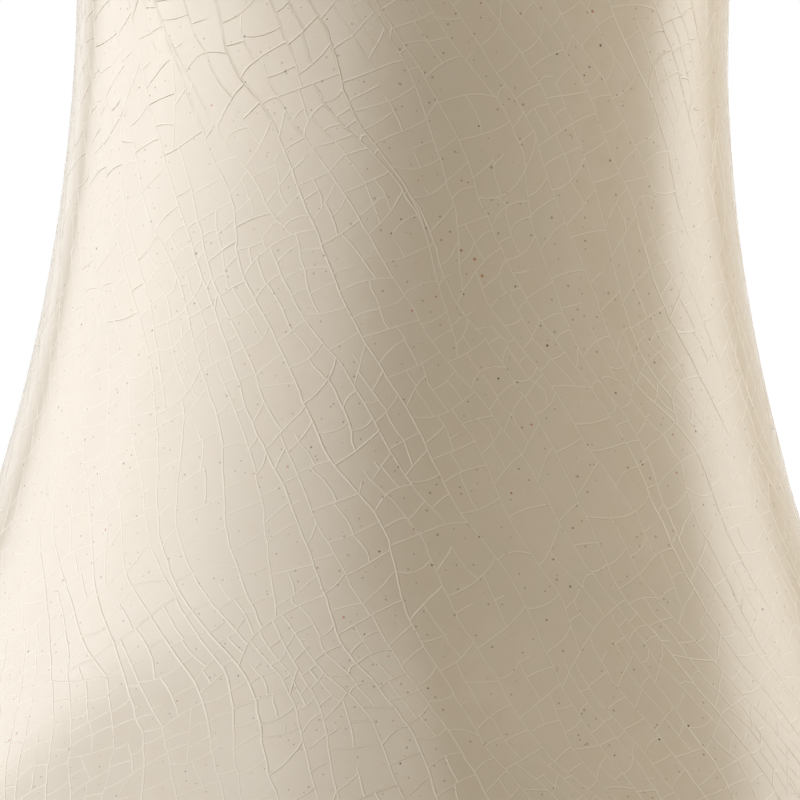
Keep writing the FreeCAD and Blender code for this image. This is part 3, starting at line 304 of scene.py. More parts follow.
@dataclass
class GourdForm:
    """The double gourd's outline, with the sizes of the part's source."""

    seat: float = 28.0
    waist_radius: float = 45.0
    waist_curve_below: float = 220.0
    waist_curve_above: float = 140.0
    lower_radius: float = 120.0
    lower_shoulder: float = 110.0
    lower_height: float = 92.0
    upper_radius: float = 78.0
    upper_shoulder: float = 70.0
    dome_radius: float = 55.0
    wall: float = 6.0
    foot_radius: float = 70.0
    foot_step: float = 1.0
    foot_width: float = 8.0
    foot_height: float = 4.0
    floor: float = 8.0
    floor_hole: float = 9.0
    mouth_radius: float = 18.0
    lip_radius: float = 27.0
    lip_height: float = 5.0
    lip_round: float = 2.25
    lip_points: int = 6

    def arcs(self) -> list[Arc]:
        """The outline's arcs from the foot to the collar, each tangent to the next.

        Returns:
            The belly, the lower shoulder, the waist's two curves, the upper bulb and its dome.
        """
        rise = self.lower_height - self.foot_height
        run = self.lower_radius - self.foot_radius
        belly = (run**2 + rise**2) / (2 * run)
        below_r = self.waist_radius + self.waist_curve_below
        above_r = self.waist_radius + self.waist_curve_above
        shoulder_r = self.lower_radius - self.lower_shoulder
        upper_r = self.upper_radius - self.upper_shoulder
        dome_r = self.upper_radius - self.dome_radius
        lower_reach = self.lower_shoulder + self.waist_curve_below
        upper_reach = self.upper_shoulder + self.waist_curve_above
        lower_rise = math.sqrt(lower_reach**2 - (below_r - shoulder_r) ** 2)
        upper_rise = math.sqrt(upper_reach**2 - (above_r - upper_r) ** 2)
        lower_turn = math.atan2(lower_rise, below_r - shoulder_r)
        upper_turn = math.atan2(upper_rise, above_r - upper_r)
        waist = self.lower_height + lower_rise
        upper = waist + upper_rise
        dome_turn = math.acos((self.lip_radius - dome_r) / self.dome_radius)
        return [
            Arc((self.lower_radius - belly, self.lower_height), belly, -math.asin(rise / belly), 0.0),
            Arc((shoulder_r, self.lower_height), self.lower_shoulder, 0.0, lower_turn),
            Arc((below_r, waist), self.waist_curve_below, lower_turn, 0.0, -1.0),
            Arc((above_r, waist), self.waist_curve_above, 0.0, -upper_turn, -1.0),
            Arc((upper_r, upper), self.upper_shoulder, -upper_turn, 0.0),
            Arc((dome_r, upper), self.dome_radius, 0.0, dome_turn),
        ]

    def outside(self, step: float) -> Array:
        """Radius and height of the glazed outside, from the foot to the collar.

        Args:
            step: the longest step between points.

        Returns:
            One row of radius and height for each point.
        """
        runs = np.concatenate([arc.points(0.0, step) for arc in self.arcs()])
        last = self.arcs()[-1]
        end = last.radius * np.array([[math.cos(last.end), math.sin(last.end)]]) + last.centre
        return np.concatenate([runs, end]) + (0.0, self.seat)

    def ring(self, step: float, inner_step: float) -> Array:
        """The whole section of the clay as one closed ring: outside, lip, inside, floor and foot.

        Args:
            step: the longest step between points outside.
            inner_step: the longest step between points inside.

        Returns:
            One row of radius and height for each point.
        """
        outside = self.outside(step)
        top = outside[-1, 1] + self.lip_height
        turn = np.linspace(0.0, math.pi / 2, self.lip_points)
        round_in, round_up = self.lip_round * (1 - np.cos(turn)), self.lip_round * (1 - np.sin(turn))
        lip = np.stack([self.lip_radius - round_in, top - round_up], axis=1)
        inside = np.concatenate([arc.points(self.wall, inner_step) for arc in self.arcs()])
        inside = inside + (0.0, self.seat)
        low = self.seat + self.foot_height + self.floor
        inside = inside[inside[:, 1] > low][::-1]
        inside = inside[inside[:, 0] > self.mouth_radius]
        foot = self.foot_radius - self.foot_step
        inner_foot = foot - self.foot_width
        neck = [(self.mouth_radius, top), (self.mouth_radius, inside[0, 1])]
        under = self.seat + self.foot_height
        base = [(inside[-1, 0], low), (self.floor_hole, low), (self.floor_hole, under), (inner_foot, under)]
        base += [(inner_foot, self.seat), (foot, self.seat), (foot, under)]
        return np.concatenate([outside, lip, neck, inside, base])


@dataclass
class GlazedSurface:
    """The glazed outside as a function of two numbers: turns round it and millimetres up its skin."""

    form: GourdForm
    step: float = 0.4
    throwing: float = 0.10
    throwing_length: float = 210.0

    def __post_init__(self) -> None:
        """Measures the outline once, so that any place on it can be looked up."""
        outline = self.form.outside(self.step)
        step = np.hypot(*np.diff(outline, axis=0).T)
        self.skin = np.concatenate([[0.0], np.cumsum(step)])
        self.outline = outline
        along = np.gradient(outline, self.skin, axis=0)
        self.outward = np.stack([along[:, 1], -along[:, 0]], axis=1)

    @property
    def length(self) -> float:
        """Length of the outline from the foot to the collar."""
        return float(self.skin[-1])

    def radius(self, rise: Array) -> Array:
        """Distance from the axis at a place up the skin."""
        return np.interp(rise, self.skin, self.outline[:, 0])

    def unevenness(self, turn: Array, rise: Array) -> Array:
        """How far the thrown clay stands off the true outline, in millimetres."""
        return self.throwing * ripple(turn, rise, seed=3, longest=self.throwing_length, count=4)

    def place(self, turn: Array, rise: Array) -> tuple[Array, Array]:
        """Points on the glaze and the way each one faces.

        A point is the outline's radius and height at that rise, turned about the axis, moved along
        its normal by the clay's unevenness.

        Args:
            turn: place round the body, in turns from the front to the right.
            rise: place up the skin, in millimetres from the foot.

        Returns:
            The points and the unit normals.
        """
        angle = FULL_TURN * turn
        level = np.interp(rise, self.skin, self.outline[:, 1])
        out = np.interp(rise, self.skin, self.outward[:, 0])
        up = np.interp(rise, self.skin, self.outward[:, 1])
        sine, cosine = np.sin(angle), np.cos(angle)
        normal = np.stack([out * sine, -out * cosine, up], axis=-1)
        radius = self.radius(rise)
        point = np.stack([radius * sine, -radius * cosine, level], axis=-1)
        return point + normal * self.unevenness(turn, rise)[..., None], normal


# A cell turned over its diagonal: its corners and its sides in their new order
TURNED_CORNERS = [0, 3, 2, 1]
TURNED_SIDES = [3, 2, 1, 0]


def on_curve(start: Array, end: Array, bow: Array, share: Array) -> Array:
    """Points at a share of the way along bowed curves."""
    return (1 - share) * start + share * end + 4 * share * (1 - share) * bow


@dataclass
class CrackleNet:
    """The fine raised lines of a crackle glaze, grown as real cracks are: each ends on an older one.

    The skin starts as upright strips. Every cell is split by a crack across its longer way, again
    and again, until it is as small as the glaze's own cells. A side of a cell is a curve
    P(t) = (1 - t) A + t B + 4 t (1 - t) bow, and a part of it from t to u is such a curve too,
    with its bow times (u - t) squared, so older cracks bound newer ones exactly. The corners of a
    cell run round it from the lower left, and its sides are the lower, right, upper and left one.
    """

    surface: GlazedSurface
    seed: int = 11
    levels: int = 22
    strips: int = 26
    strip_scatter: float = 0.18
    # A cell splits when it is this much larger than the wanted size, which differs by place and by chance
    cell_width: float = 5.4
    cell_height: float = 4.3
    spare: float = 1.25
    patch: float = 0.3
    patch_size: float = 85.0
    patch_limits: Pair = (0.78, 1.8)
    coarseness: Pair = (0.9, 1.35)
    # It splits across when it is more slender than this, and a long strip stays one for longer
    slender: float = 1.1
    slender_spread: Pair = (0.85, 1.2)
    long: float = 26.0
    long_slender: float = 5.0
    # How the cracks run: twisted round the body, sloping across, with their ends off the cell's corners
    lean: float = -0.52
    tilt: float = 0.5
    scatter: float = 0.2
    upright_scatter: float = 0.14
    middle: Pair = (0.39, 0.61)
    ends: Pair = (0.14, 0.86)
    steepest: float = 0.6
    bend: float = 0.055
    bend_length: float = 30.0
    # Some cracks of small cells stop halfway, and those of small cells are weaker
    small: float = 11.0
    small_strength: float = 0.92
    stopped: float = 0.16
    stopped_part: Pair = (0.45, 0.8)
    strengths: Pair = (0.7, 1.0)
    # Ripples that carry the net sideways and up: a size, a seed and a longest wave
    side_waves: tuple = ((1.3, 41, 120.0), (0.8, 43, 62.0), (0.10, 47, 14.0), (0.07, 67, 7.0))
    lift_waves: tuple = ((0.9, 53, 100.0), (0.4, 59, 40.0))
    still_edge: float = 12.0
    least_radius: float = 30.0
    # The ridges themselves
    step: float = 1.5
    ridge: float = 0.065
    half_width: float = 0.215
    narrowest: float = 0.75
    sunk: float = 0.012
    usual: float = 0.95
    wear: float = 0.2
    wear_limits: Pair = (0.45, 1.15)
    taper: float = 0.35

    def measure(self, corners: Array) -> tuple[Array, Array]:
        """Width and height of each cell, in millimetres, between the middles of its sides."""
        bottom, top = corners[:, :2].mean(axis=1), corners[:, 2:].mean(axis=1)
        left, right = corners[:, (0, 3)].mean(axis=1), corners[:, (1, 2)].mean(axis=1)
        girth = FULL_TURN * self.surface.radius(corners[:, :, 1].mean(axis=1))
        width = np.hypot((right - left)[:, 0] * girth, (right - left)[:, 1])
        height = np.hypot((top - bottom)[:, 0] * girth, (top - bottom)[:, 1])
        return width, height

    def first_cells(self, rng: Random) -> tuple[Array, Array]:
        """The upright strips of the whole skin: their corners and the bows of their sides, all zero."""
        scatter = rng.uniform(-self.strip_scatter, self.strip_scatter, self.strips)
        edge = (np.arange(self.strips) + scatter) / self.strips
        after = np.append(edge[1:], edge[0] + 1.0)
        low, high = np.zeros_like(edge), np.full_like(edge, self.surface.length)
        corners = np.stack([edge, low, after, low, after, high, edge, high], axis=1).reshape(-1, 4, 2)
        return corners, np.zeros_like(corners)

    def due(self, corners: Array, width: Array, height: Array, rng: Random) -> tuple[Array, Array]:
        """Which cells split at this level.

        Args:
            corners: the cells' corners.
            width: their widths, in millimetres.
            height: their heights, in millimetres.
            rng: the net's random numbers.

        Returns:
            The cells that a crack across splits, and those that an upright one splits.
        """
        centre = corners.mean(axis=1)
        patch = 1.0 + self.patch * ripple(centre[:, 0], centre[:, 1], seed=29, longest=self.patch_size)
        coarse = np.clip(patch, *self.patch_limits) * rng.uniform(*self.coarseness, len(corners))
        wide = width > self.spare * self.cell_width * coarse
        tall = height > self.spare * self.cell_height * coarse
        slender = np.where(height > self.long, self.long_slender, self.slender)
        slender *= rng.uniform(*self.slender_spread, len(corners))
        across = tall & (~wide | (height > width * slender))
        return across, wide & ~across

    def split(
        self, cell: Array, bow: Array, size: Array, across: bool, rng: Random
    ) -> tuple[list[tuple[Array, Array]], dict[str, Array]]:
        """Splits each cell by a crack; an upright one is a crack across the cell turned over.

        Args:
            cell: the cells' corners, in turns and millimetres.
            bow: the bows of their sides.
            size: their widths and heights, in millimetres.
            across: whether the cracks run across or upright.
            rng: the net's random numbers.

        Returns:
            The corners and bows of both halves, and the cracks between them.
        """
        count = len(cell)
        girth = FULL_TURN * self.surface.radius(cell[:, :, 1].mean(axis=1))
        middle = rng.uniform(*self.middle, count)
        scatter = rng.normal(0.0, self.scatter if across else self.upright_scatter, count)
        if not across:
            cell, bow = cell[:, TURNED_CORNERS], bow[:, TURNED_SIDES]
        run = (cell[:, (1, 2)].mean(axis=1) - cell[:, (0, 3)].mean(axis=1)).T
        run[0] *= girth
        (length, depth), (along, aside) = (size, run) if across else (size[::-1], run[::-1])
        slope = self.tilt + scatter if across else scatter
        rise = np.clip((along * slope - aside) / np.maximum(depth, TINY), -self.steepest, self.steepest)
        first = np.clip(middle - rise / 2, *self.ends)[:, None]
        second = np.clip(middle + rise / 2, *self.ends)[:, None]
        start = on_curve(cell[:, 0], cell[:, 3], bow[:, 3], first)
        end = on_curve(cell[:, 1], cell[:, 2], bow[:, 1], second)
        bend = rng.normal(0.0, self.bend, count) * np.minimum(length, self.bend_length)
        straight = np.zeros_like(bend)
        new = np.stack([straight, bend] if across else [bend / girth, straight], axis=1)
        low = [bow[:, 0], bow[:, 1] * second**2, new, bow[:, 3] * first**2]
        high = [new, bow[:, 1] * (1 - second) ** 2, bow[:, 2], bow[:, 3] * (1 - first) ** 2]
        cells = ([cell[:, 0], cell[:, 1], end, start], low), ([start, end, cell[:, 2], cell[:, 3]], high)
        halves = [(np.stack(corners, axis=1), np.stack(bows, axis=1)) for corners, bows in cells]
        if not across:
            halves = [(corners[:, TURNED_CORNERS], bows[:, TURNED_SIDES]) for corners, bows in halves]
        small = np.maximum(*size) < self.small
        stopped = small & (rng.random(count) < self.stopped)
        part = np.where(stopped, rng.uniform(*self.stopped_part, count), 1.0)
        strength = rng.uniform(*self.strengths, count) * np.where(small, self.small_strength, 1.0)
        return halves, {"start": start, "end": end, "bow": new, "strength": strength, "part": part}

    def grow(self) -> list[dict[str, Array]]:
        """Grows the whole net, level by level.

        Returns:
            One entry for each set of cracks: their ends, bows and strengths, in turns and millimetres,
            and how much of each crack opened.
        """
        rng = np.random.default_rng(self.seed)
        corners, bows = self.first_cells(rng)
        whole = np.ones(self.strips)
        side = {"start": corners[:, 0], "end": corners[:, 3], "bow": bows[:, 3]}
        cracks = [{**side, "strength": whole, "part": whole}]
        for _ in range(self.levels):
            size = np.stack(self.measure(corners))
            across, upright = self.due(corners, *size, rng)
            done = ~(across | upright)
            if done.all():
                break
            cells = [(corners[done], bows[done])]
            for chosen, is_across in ((across, True), (upright, False)):
                if chosen.any():
                    halves, made = self.split(corners[chosen], bows[chosen], size[:, chosen], is_across, rng)
                    cells += halves
                    cracks.append(made)
            corners, bows = (np.concatenate(arrays) for arrays in zip(*cells))
        LOG.info("crackle net of %d cells", len(corners))
        return cracks

    def drift(self, turn: Array, rise: Array) -> tuple[Array, Array]:
        """Where the clay's pull carries a point of the net: a slow twist and ripples of several sizes.

        Args:
            turn: place round the body in the straight net.
            rise: place up the skin in the straight net.

        Returns:
            The place round the body and up the skin, after the drift.
        """
        skin, length = self.surface.skin, self.surface.length
        per_turn = FULL_TURN * np.maximum(self.surface.outline[:, 0], self.least_radius)
        twist = np.concatenate([[0.0], np.cumsum(np.diff(skin) * self.lean / per_turn[1:])])
        girth = FULL_TURN * self.surface.radius(rise)
        side, lift = (
            sum(size * ripple(turn, rise, seed, longest) for size, seed, longest in waves)
            for waves in (self.side_waves, self.lift_waves)
        )
        lift *= np.clip(np.minimum(rise, length - rise) / self.still_edge, 0.0, 1.0)
        return turn + np.interp(rise, skin, twist) + side / girth, np.clip(rise + lift, 0.0, length)

    def ribbons(self, cracks: list[dict[str, Array]], low: float, high: float) -> tuple[Array, Array]:
        """The cracks of one band as low ridges that follow the glaze.

        A ridge has three points across: two edges sunk under the glaze and a crest above it, set
        off by half the width along the cross product of the crack's run and the surface's normal.

        Args:
            cracks: the net's cracks.
            low: the band's lower end, in millimetres up the skin.
            high: the band's upper end.

        Returns:
            The points and the quads of the band's ridges.
        """
        points, quads, count = [], [], 0
        for group in cracks:
            run = group["end"] - group["start"]
            middle = (group["start"] + group["end"])[:, 1] / 2
            length = np.hypot(run[:, 0] * FULL_TURN * self.surface.radius(middle), run[:, 1]) * group["part"]
            samples = np.maximum(3, np.ceil(length / self.step).astype(int) + 1)
            for size in np.unique(samples):
                chosen = (samples == size) & (middle >= low) & (middle < high)
                number = int(chosen.sum())
                if number == 0:
                    continue
                picked = {name: values[chosen][:, None] for name, values in group.items()}
                even = np.linspace(0.0, 1.0, size)[None, :]
                t = (even * picked["part"])[..., None]
                flat = picked["start"] + t * run[chosen][:, None] + 4 * t * (1 - t) * picked["bow"]
                turn, rise = self.drift(flat[..., 0], flat[..., 1])
                centre, normal = self.surface.place(turn, rise)
                side = np.cross(np.gradient(centre, axis=1), normal)
                side /= np.linalg.norm(side, axis=-1, keepdims=True)
                wear = self.usual + self.wear * ripple(turn, rise, seed=61, longest=60.0)
                taper = np.clip((1.0 - even) / self.taper, 0.0, 1.0)
                fade = np.where(picked["part"] < 1.0, taper, 1.0)
                strength = (picked["strength"] * np.clip(wear, *self.wear_limits) * fade)[..., None]
                crest = (self.ridge + self.sunk) * strength - self.sunk
                reach = side * self.half_width * (self.narrowest + (1.0 - self.narrowest) * strength)
                edge = centre - self.sunk * normal
                ridge = np.stack([edge - reach, centre + crest * normal, edge + reach], axis=2)
                first = count + np.arange(number) * size * 3
                quads.append((grid_faces(size, 3, False, False)[None] + first[:, None, None]).reshape(-1, 4))
                points.append(ridge.reshape(-1, 3))
                count += number * size * 3
        return np.concatenate(points), np.concatenate(quads)


# Finishes


class Grain(Enum):
    """How the fine marks of a surface lie, from the way it was made."""

    EVEN = "all over"
    TURNED = "rings round the upright axis"
    DRAWN = "lines up the piece"


# How much shorter the marks of a drawn piece look across than along
DRAWN_ALONG = 0.03


@dataclass(frozen=True)
class Finish:
    """One real material and its making; the sizes of its marks are in millimetres.

    Two colours meet in soft patches, the same patches change the gloss, and fine marks stand a
    few hundredths of a millimetre off the surface.
    """

    name: str
    colour: str
    patch_colour: str
    roughness: float
    patch_roughness: float
    patch: float
    mark: float
    relief: float
    grain: Grain = Grain.EVEN
    metallic: float = 0.0
    coat: float = 0.0
    sheen: float = 0.0

    def marks(self, tree: Tree, place: Socket) -> Socket:
        """Bends the coordinates so that the marks run the way the piece was made.

        Args:
            tree: the material's nodes.
            place: the object coordinates.

        Returns:
            The coordinates for the fine marks.
        """
        if self.grain is Grain.EVEN:
            return place
        if self.grain is Grain.DRAWN:
            return stretch(tree, place, (1.0, 1.0, DRAWN_ALONG))
        height = add(tree, "ShaderNodeSeparateXYZ", {0: place}).outputs["Z"]
        across = stretch(tree, place, (1.0, 1.0, 0.0))
        radius = add(tree, "ShaderNodeVectorMath", {0: across}, operation="LENGTH").outputs["Value"]
        return add(tree, "ShaderNodeCombineXYZ", {0: radius, 2: height}).outputs[0]

    def material(self) -> Material:
        """Makes the material."""
        material, tree = start_material(self.name)
        place = object_place(tree)
        patches = noise(tree, place, self.patch, detail=5.0)
        fine = noise(tree, self.marks(tree, place), self.mark, detail=3.0)
        shader = {
            "Base Color": mix(tree, patches, self.colour, self.patch_colour),
            "Metallic": self.metallic,
            "Roughness": spread(tree, patches, (0.3, 0.7), (self.roughness, self.patch_roughness)),
            "Coat Weight": self.coat,
            "Coat Roughness": 0.12,
            "Sheen Weight": self.sheen,
            "Normal": emboss(tree, fine, self.relief),
        }
        return finish(material, shader)


@dataclass(frozen=True)
class CrackleGlaze:
    """Stoneware under a thick ivory gloss glaze, fired with iron specks.

    The eye sees a warm cream body with faint clouds and warmer mottles, a wet hard gloss that is
    a little uneven, and dark, brown and rust-coloured specks a quarter of a millimetre across. The
    crest of every ridge is paler, partly the thicker glaze and partly a painted highlight, and its right or
    lower side carries a darker painted shade, where the light from the upper left falls away.
    """

    name: str = "crackle_glazed_stoneware"
    body: str = "E3D1B4"
    cloud: str = "DCCBAF"
    cloud_size: float = 22.0
    mottle: str = "DECAAC"
    mottle_size: float = 3.5
    # Each kind of speck: the size of its cells, its radius, its colour and its strength
    specks: tuple[tuple[float, float, str, float], ...] = (
        (3.0, 0.18, "4A2C16", 0.85),
        (1.5, 0.16, "9A6B48", 0.55),
        (2.1, 0.18, "8C6E50", 0.55),
        (4.6, 0.20, "B8641E", 0.85),
    )
    # The marks that the ridges carry, with their colours and strengths: the crest's paler colour, partly a
    # painted highlight, and the step's painted shade on the right or lower side
    ridge: tuple[tuple[str, str, float], ...] = (("crest", "FBEDD2", 0.52), ("step", "96815F", 0.42))
    roughness: float = 0.12
    skin_roughness: float = 0.06
    skin_size: float = 5.0
    skin_relief: float = 0.012
    # Facing values between which the glare of a glancing look goes, and what is left of it
    haze: Pair = (0.33, 0.68)
    hazed_coat: float = 0.08
    hazed_level: float = 0.03

    def material(self) -> Material:
        """Makes the glaze from its clouds, mottles, specks, ridges and skin."""
        material, tree = start_material(self.name)
        place = object_place(tree)
        clouds = spread(tree, noise(tree, place, self.cloud_size, 9.0, 0.62), (0.3, 0.7))
        mottles = spread(tree, noise(tree, place, self.mottle_size, 5.0, 0.7), (0.4, 0.75))
        colour = mix(tree, mottles, mix(tree, clouds, self.body, self.cloud), self.mottle)
        for cell, radius, code, strength in self.specks:
            spots = add(tree, "ShaderNodeTexVoronoi", {0: place, "Scale": 1.0 / (cell * MM)}).outputs
            away = reckon(tree, "DIVIDE", spots["Distance"], reckon(tree, "ADD", spots["Color"], 0.5))
            dot = spread(tree, away, (0.5 * radius / cell, radius / cell), (strength, 0.0))
            colour = mix(tree, dot, colour, code)
        # Each ridge's crest gets a paler colour that is partly a painted highlight, and its step on the right
        # or lower side a painted shade
        for mark, code, strength in self.ridge:
            across = add(tree, "ShaderNodeAttribute", attribute_name=mark).outputs["Fac"]
            colour = mix(tree, reckon(tree, "MULTIPLY", across, strength), colour, code)
        bump = emboss(tree, noise(tree, place, self.skin_size), self.skin_relief)
        facing = add(tree, "ShaderNodeLayerWeight", {0: 0.5}).outputs["Facing"]
        shader = {
            "Base Color": colour,
            "Roughness": self.roughness,
            "IOR": 1.5,
            "Specular IOR Level": spread(tree, facing, self.haze, (0.5, self.hazed_level)),
            "Normal": bump,
            "Coat Weight": spread(tree, facing, self.haze, (1.0, self.hazed_coat)),
            "Coat Roughness": self.skin_roughness,
            "Coat IOR": 1.5,
            "Coat Normal": bump,
        }
        return finish(material, shader)


@dataclass(frozen=True)
class TurnedWood:
    """A dark stained hardwood blank, turned and lacquered.

    The eye sees growth rings cut by the turned shape, long open pores along the blank and a satin
    lacquer that rounds them off. The blank's pith lay behind and below the plinth.
    """

    name: str = "stained_lacquered_beech"
    pale: str = "5E3A22"
    dark: str = "331C10"
    pore: str = "1C0F08"
    ring: float = 4.2
    pith: tuple[float, float, float] = (0.0, 210.0, -150.0)
    pore_length: float = 7.0
    pore_width: float = 0.35
    pore_depth: float = 0.05

    def material(self) -> Material:
        """Makes the wood: rings round an axis along X, then pores drawn out along X."""
        material, tree = start_material(self.name)
        place = object_place(tree)
        pith = tuple(-value * MM for value in self.pith)
        shifted = add(tree, "ShaderNodeVectorMath", {0: place, 1: pith}, operation="ADD").outputs[0]
        waves = {0: shifted, "Scale": 0.05 / (self.ring * MM), "Distortion": 1.6}
        soft = {"Detail": 2.0, "Detail Scale": 0.6}
        rings = add(tree, "ShaderNodeTexWave", {**waves, **soft}, wave_type="RINGS", rings_direction="X")
        along = stretch(tree, place, (self.pore_width / self.pore_length, 1.0, 1.0))
        pores = spread(tree, noise(tree, along, self.pore_width), (0.6, 0.72), (0.0, 0.75))
        figure = mix(tree, rings.outputs[1], self.dark, self.pale)
        shader = {
            "Base Color": mix(tree, pores, figure, self.pore),
            "Roughness": 0.42,
            "Normal": emboss(tree, pores, self.pore_depth, invert=True),
            "Coat Weight": 0.6,
            "Coat Roughness": 0.22,
        }
        return finish(material, shader)


@dataclass(frozen=True)
class Linen:
    """Off-white plain weave linen, laminated to a white liner.

    The eye sees threads of uneven thickness both ways, thick slubs a few centimetres long and a
    dry, slightly see-through surface. The weave lies on the flat map, so it follows the cloth.
    """

    name: str = "plain_weave_linen"
    pale: str = "FAF5EB"
    dark: str = "E6DDCD"
    thread: float = 0.55
    slub_length: float = 16.0
    relief: float = 0.1
    through: float = 0.12

    def material(self) -> Material:
        """Makes the cloth from its weft and its warp, each noise drawn out along the threads."""
        material, tree = start_material(self.name)
        flat = add(tree, "ShaderNodeUVMap", uv_map="flat").outputs[0]
        drawn = self.thread / self.slub_length
        # The flat map is in millimetres, where noise counts metres
        weft, warp = (
            noise(tree, stretch(tree, flat, along), self.thread / MM)
            for along in ((drawn, 1.0, 1.0), (1.0, drawn, 1.0))
        )
        depth = spread(tree, reckon(tree, "MAXIMUM", weft, warp), (0.42, 0.68))
        colour = mix(tree, depth, self.dark, self.pale)
        bump = emboss(tree, depth, self.relief)
        cloth = {"Base Color": colour, "Roughness": 0.9, "Sheen Weight": 0.25, "Normal": bump}
        outer = add(tree, "ShaderNodeBsdfPrincipled", cloth).outputs[0]
        inner = add(tree, "ShaderNodeBsdfTranslucent", {"Color": colour, "Normal": bump}).outputs[0]
        both = add(tree, "ShaderNodeMixShader", {0: self.through, 1: outer, 2: inner}).outputs[0]
        add(tree, "ShaderNodeOutputMaterial", {0: both})
        return material


@dataclass(frozen=True)
class Glass:
    """Blown or pressed glass: clear, frosted inside, or black, by its colour and its roughness."""

    name: str
    colour: str
    roughness: float
    clear: float
    wave: float = 14.0
    wave_depth: float = 0.05

    def material(self) -> Material:
        """Makes the glass, with faint waves from the mould in its surface."""
        material, tree = start_material(self.name)
        shader = {
            "Base Color": linear(self.colour),
            "Roughness": self.roughness,
            "Transmission Weight": self.clear,
            "IOR": 1.5,
            "Normal": emboss(tree, noise(tree, object_place(tree), self.wave), self.wave_depth),
        }
        return finish(material, shader)


EVEN, TURNED, DRAWN = Grain
FINISHES = {
    # Dry and dark, with loose fibres: pressed wool
    "felt": Finish("pressed_wool_felt", "3C4038", "2E312B", 0.95, 1.0, 8.0, 0.4, 0.15, sheen=0.4),
    # Rings, pores and a satin skin: lacquered wood
    "turned_wood": TurnedWood(),
    # An even soft sheen over a fine spark-eroded mould texture: nylon
    "bushing_plastic": Finish("moulded_nylon", "17171A", "1D1D20", 0.5, 0.6, 12.0, 0.5, 0.02),
    # Matt, a little dusty: cut sheet rubber
    "gasket_rubber": Finish("cut_sheet_rubber", "2A2827", "383533", 0.75, 0.9, 6.0, 0.8, 0.03),
    "crackle_glaze": CrackleGlaze(),
    # Fine tool rings and browner, duller patches where hands have been: turned brass left to age
    "aged_brass": Finish("aged_turned_brass", "B08D4E", "8A6A38", 0.22, 0.42, 9.0, 0.25, 0.004, TURNED, 1.0),
    # Grey with a blue cast and a blotched shine: barrel zinc plate on steel
    "zinc_steel": Finish("zinc_plated_steel", "B4B6B8", "9A9DA2", 0.3, 0.5, 4.0, 0.6, 0.01, EVEN, 1.0),
    # Yellow and even, with lines where the wire was drawn: brass plate on drawn steel
    "plated_steel": Finish("brass_plated_wire", "C9A25A", "B58D48", 0.2, 0.34, 14.0, 0.3, 0.003, DRAWN, 1.0),
    # Bright, with the draw lines of the press: drawn sheet brass
    "socket_brass": Finish("drawn_sheet_brass", "D2AC62", "BE9650", 0.16, 0.28, 12.0, 0.2, 0.003, DRAWN, 1.0),
    # Brown and fibrous: pressed board
    "cardboard": Finish("pressed_board", "7A6248", "6A533C", 0.85, 0.95, 5.0, 0.5, 0.05),
    # Nearly black, glossy, with faint flow marks: compression moulded phenolic
    "phenolic": Finish("moulded_phenolic", "1C1714", "261E19", 0.2, 0.32, 16.0, 4.0, 0.02, coat=0.3),
    # Pale grey-yellow with an even shine: thin sheet aluminium
    "contact_metal": Finish("rolled_sheet_metal", "C8C5BC", "B6B2A6", 0.26, 0.4, 6.0, 0.3, 0.004, EVEN, 1.0),
    # Black with rounded highlights: injection moulded plastic
    "knob_plastic": Finish("moulded_black_plastic", "121214", "18181B", 0.26, 0.36, 8, 1.2, 0.006, coat=0.2),
    # Dull silver with a frozen skin: soft solder
    "solder": Finish("soft_solder", "A9A9AC", "8F9094", 0.34, 0.5, 1.5, 0.5, 0.02, EVEN, 1.0),
    # Deep black and wet: pressed glass
    "black_glass": Glass("pressed_black_glass", "0A0A0B", 0.08, 0.0),
    # Milky, with a clear outer skin: glass etched inside
    "frosted_glass": Glass("etched_bulb_glass", "F7F5EF", 0.38, 0.9),
    "clear_glass": Glass("drawn_clear_glass", "F2F6F4", 0.02, 1.0),
    # Dark grey with a satin shine: drawn tungsten and nickel wire
    "lead_wire": Finish("drawn_fine_wire", "8B867E", "77726A", 0.3, 0.42, 3.0, 0.2, 0.002, DRAWN, 1.0),
    "linen": Linen(),
    # White, smooth and soft: calendered styrene sheet
    "liner_sheet": Finish("white_styrene_sheet", "F1EFE8", "EBE8DF", 0.45, 0.55, 40.0, 1.5, 0.01),
    # A dry narrow weave, a little darker than the cloth: folded linen tape
    "linen_tape": Finish("folded_linen_tape", "E3D9C6", "D6CAB3", 0.9, 0.95, 5.0, 0.7, 0.12, sheen=0.2),
}


# The lamp


@dataclass
class Dressing:
    """Gives every piece its material; each material is made once, from the record's slot name."""

    frame: dict

    def __post_init__(self) -> None:
        """Starts with no material made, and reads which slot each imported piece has."""
        self.made: dict[str, Material] = {}
        self.slots = {part["node"]: part["material_slot"] for part in self.frame["record"]["subparts"]}

    def material(self, slot: str) -> Material:
        """Returns the slot's material, and makes it the first time."""
        if slot not in self.made:
            self.made[slot] = FINISHES[slot].material()
        return self.made[slot]

    def dress(self, piece: Piece, slot: str, body: str | None = None) -> Piece:
        """Puts a slot's material on a piece.

        Args:
            piece: the piece.
            slot: the record's name for its finish.
            body: the moving body that it rides on, for a piece made here.

        Returns:
            The piece.
        """
        piece.data.materials.clear()
        piece.data.materials.append(self.material(slot))
        if body:
            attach(piece, body)
        LOG.info("%s: %s, %d faces", piece.name, slot, len(piece.data.polygons))
        return piece

    def keep(self, *names: str) -> None:
        """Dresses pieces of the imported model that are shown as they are."""
        for name in names:
            self.dress(self.frame["nodes"][name], self.slots[name])


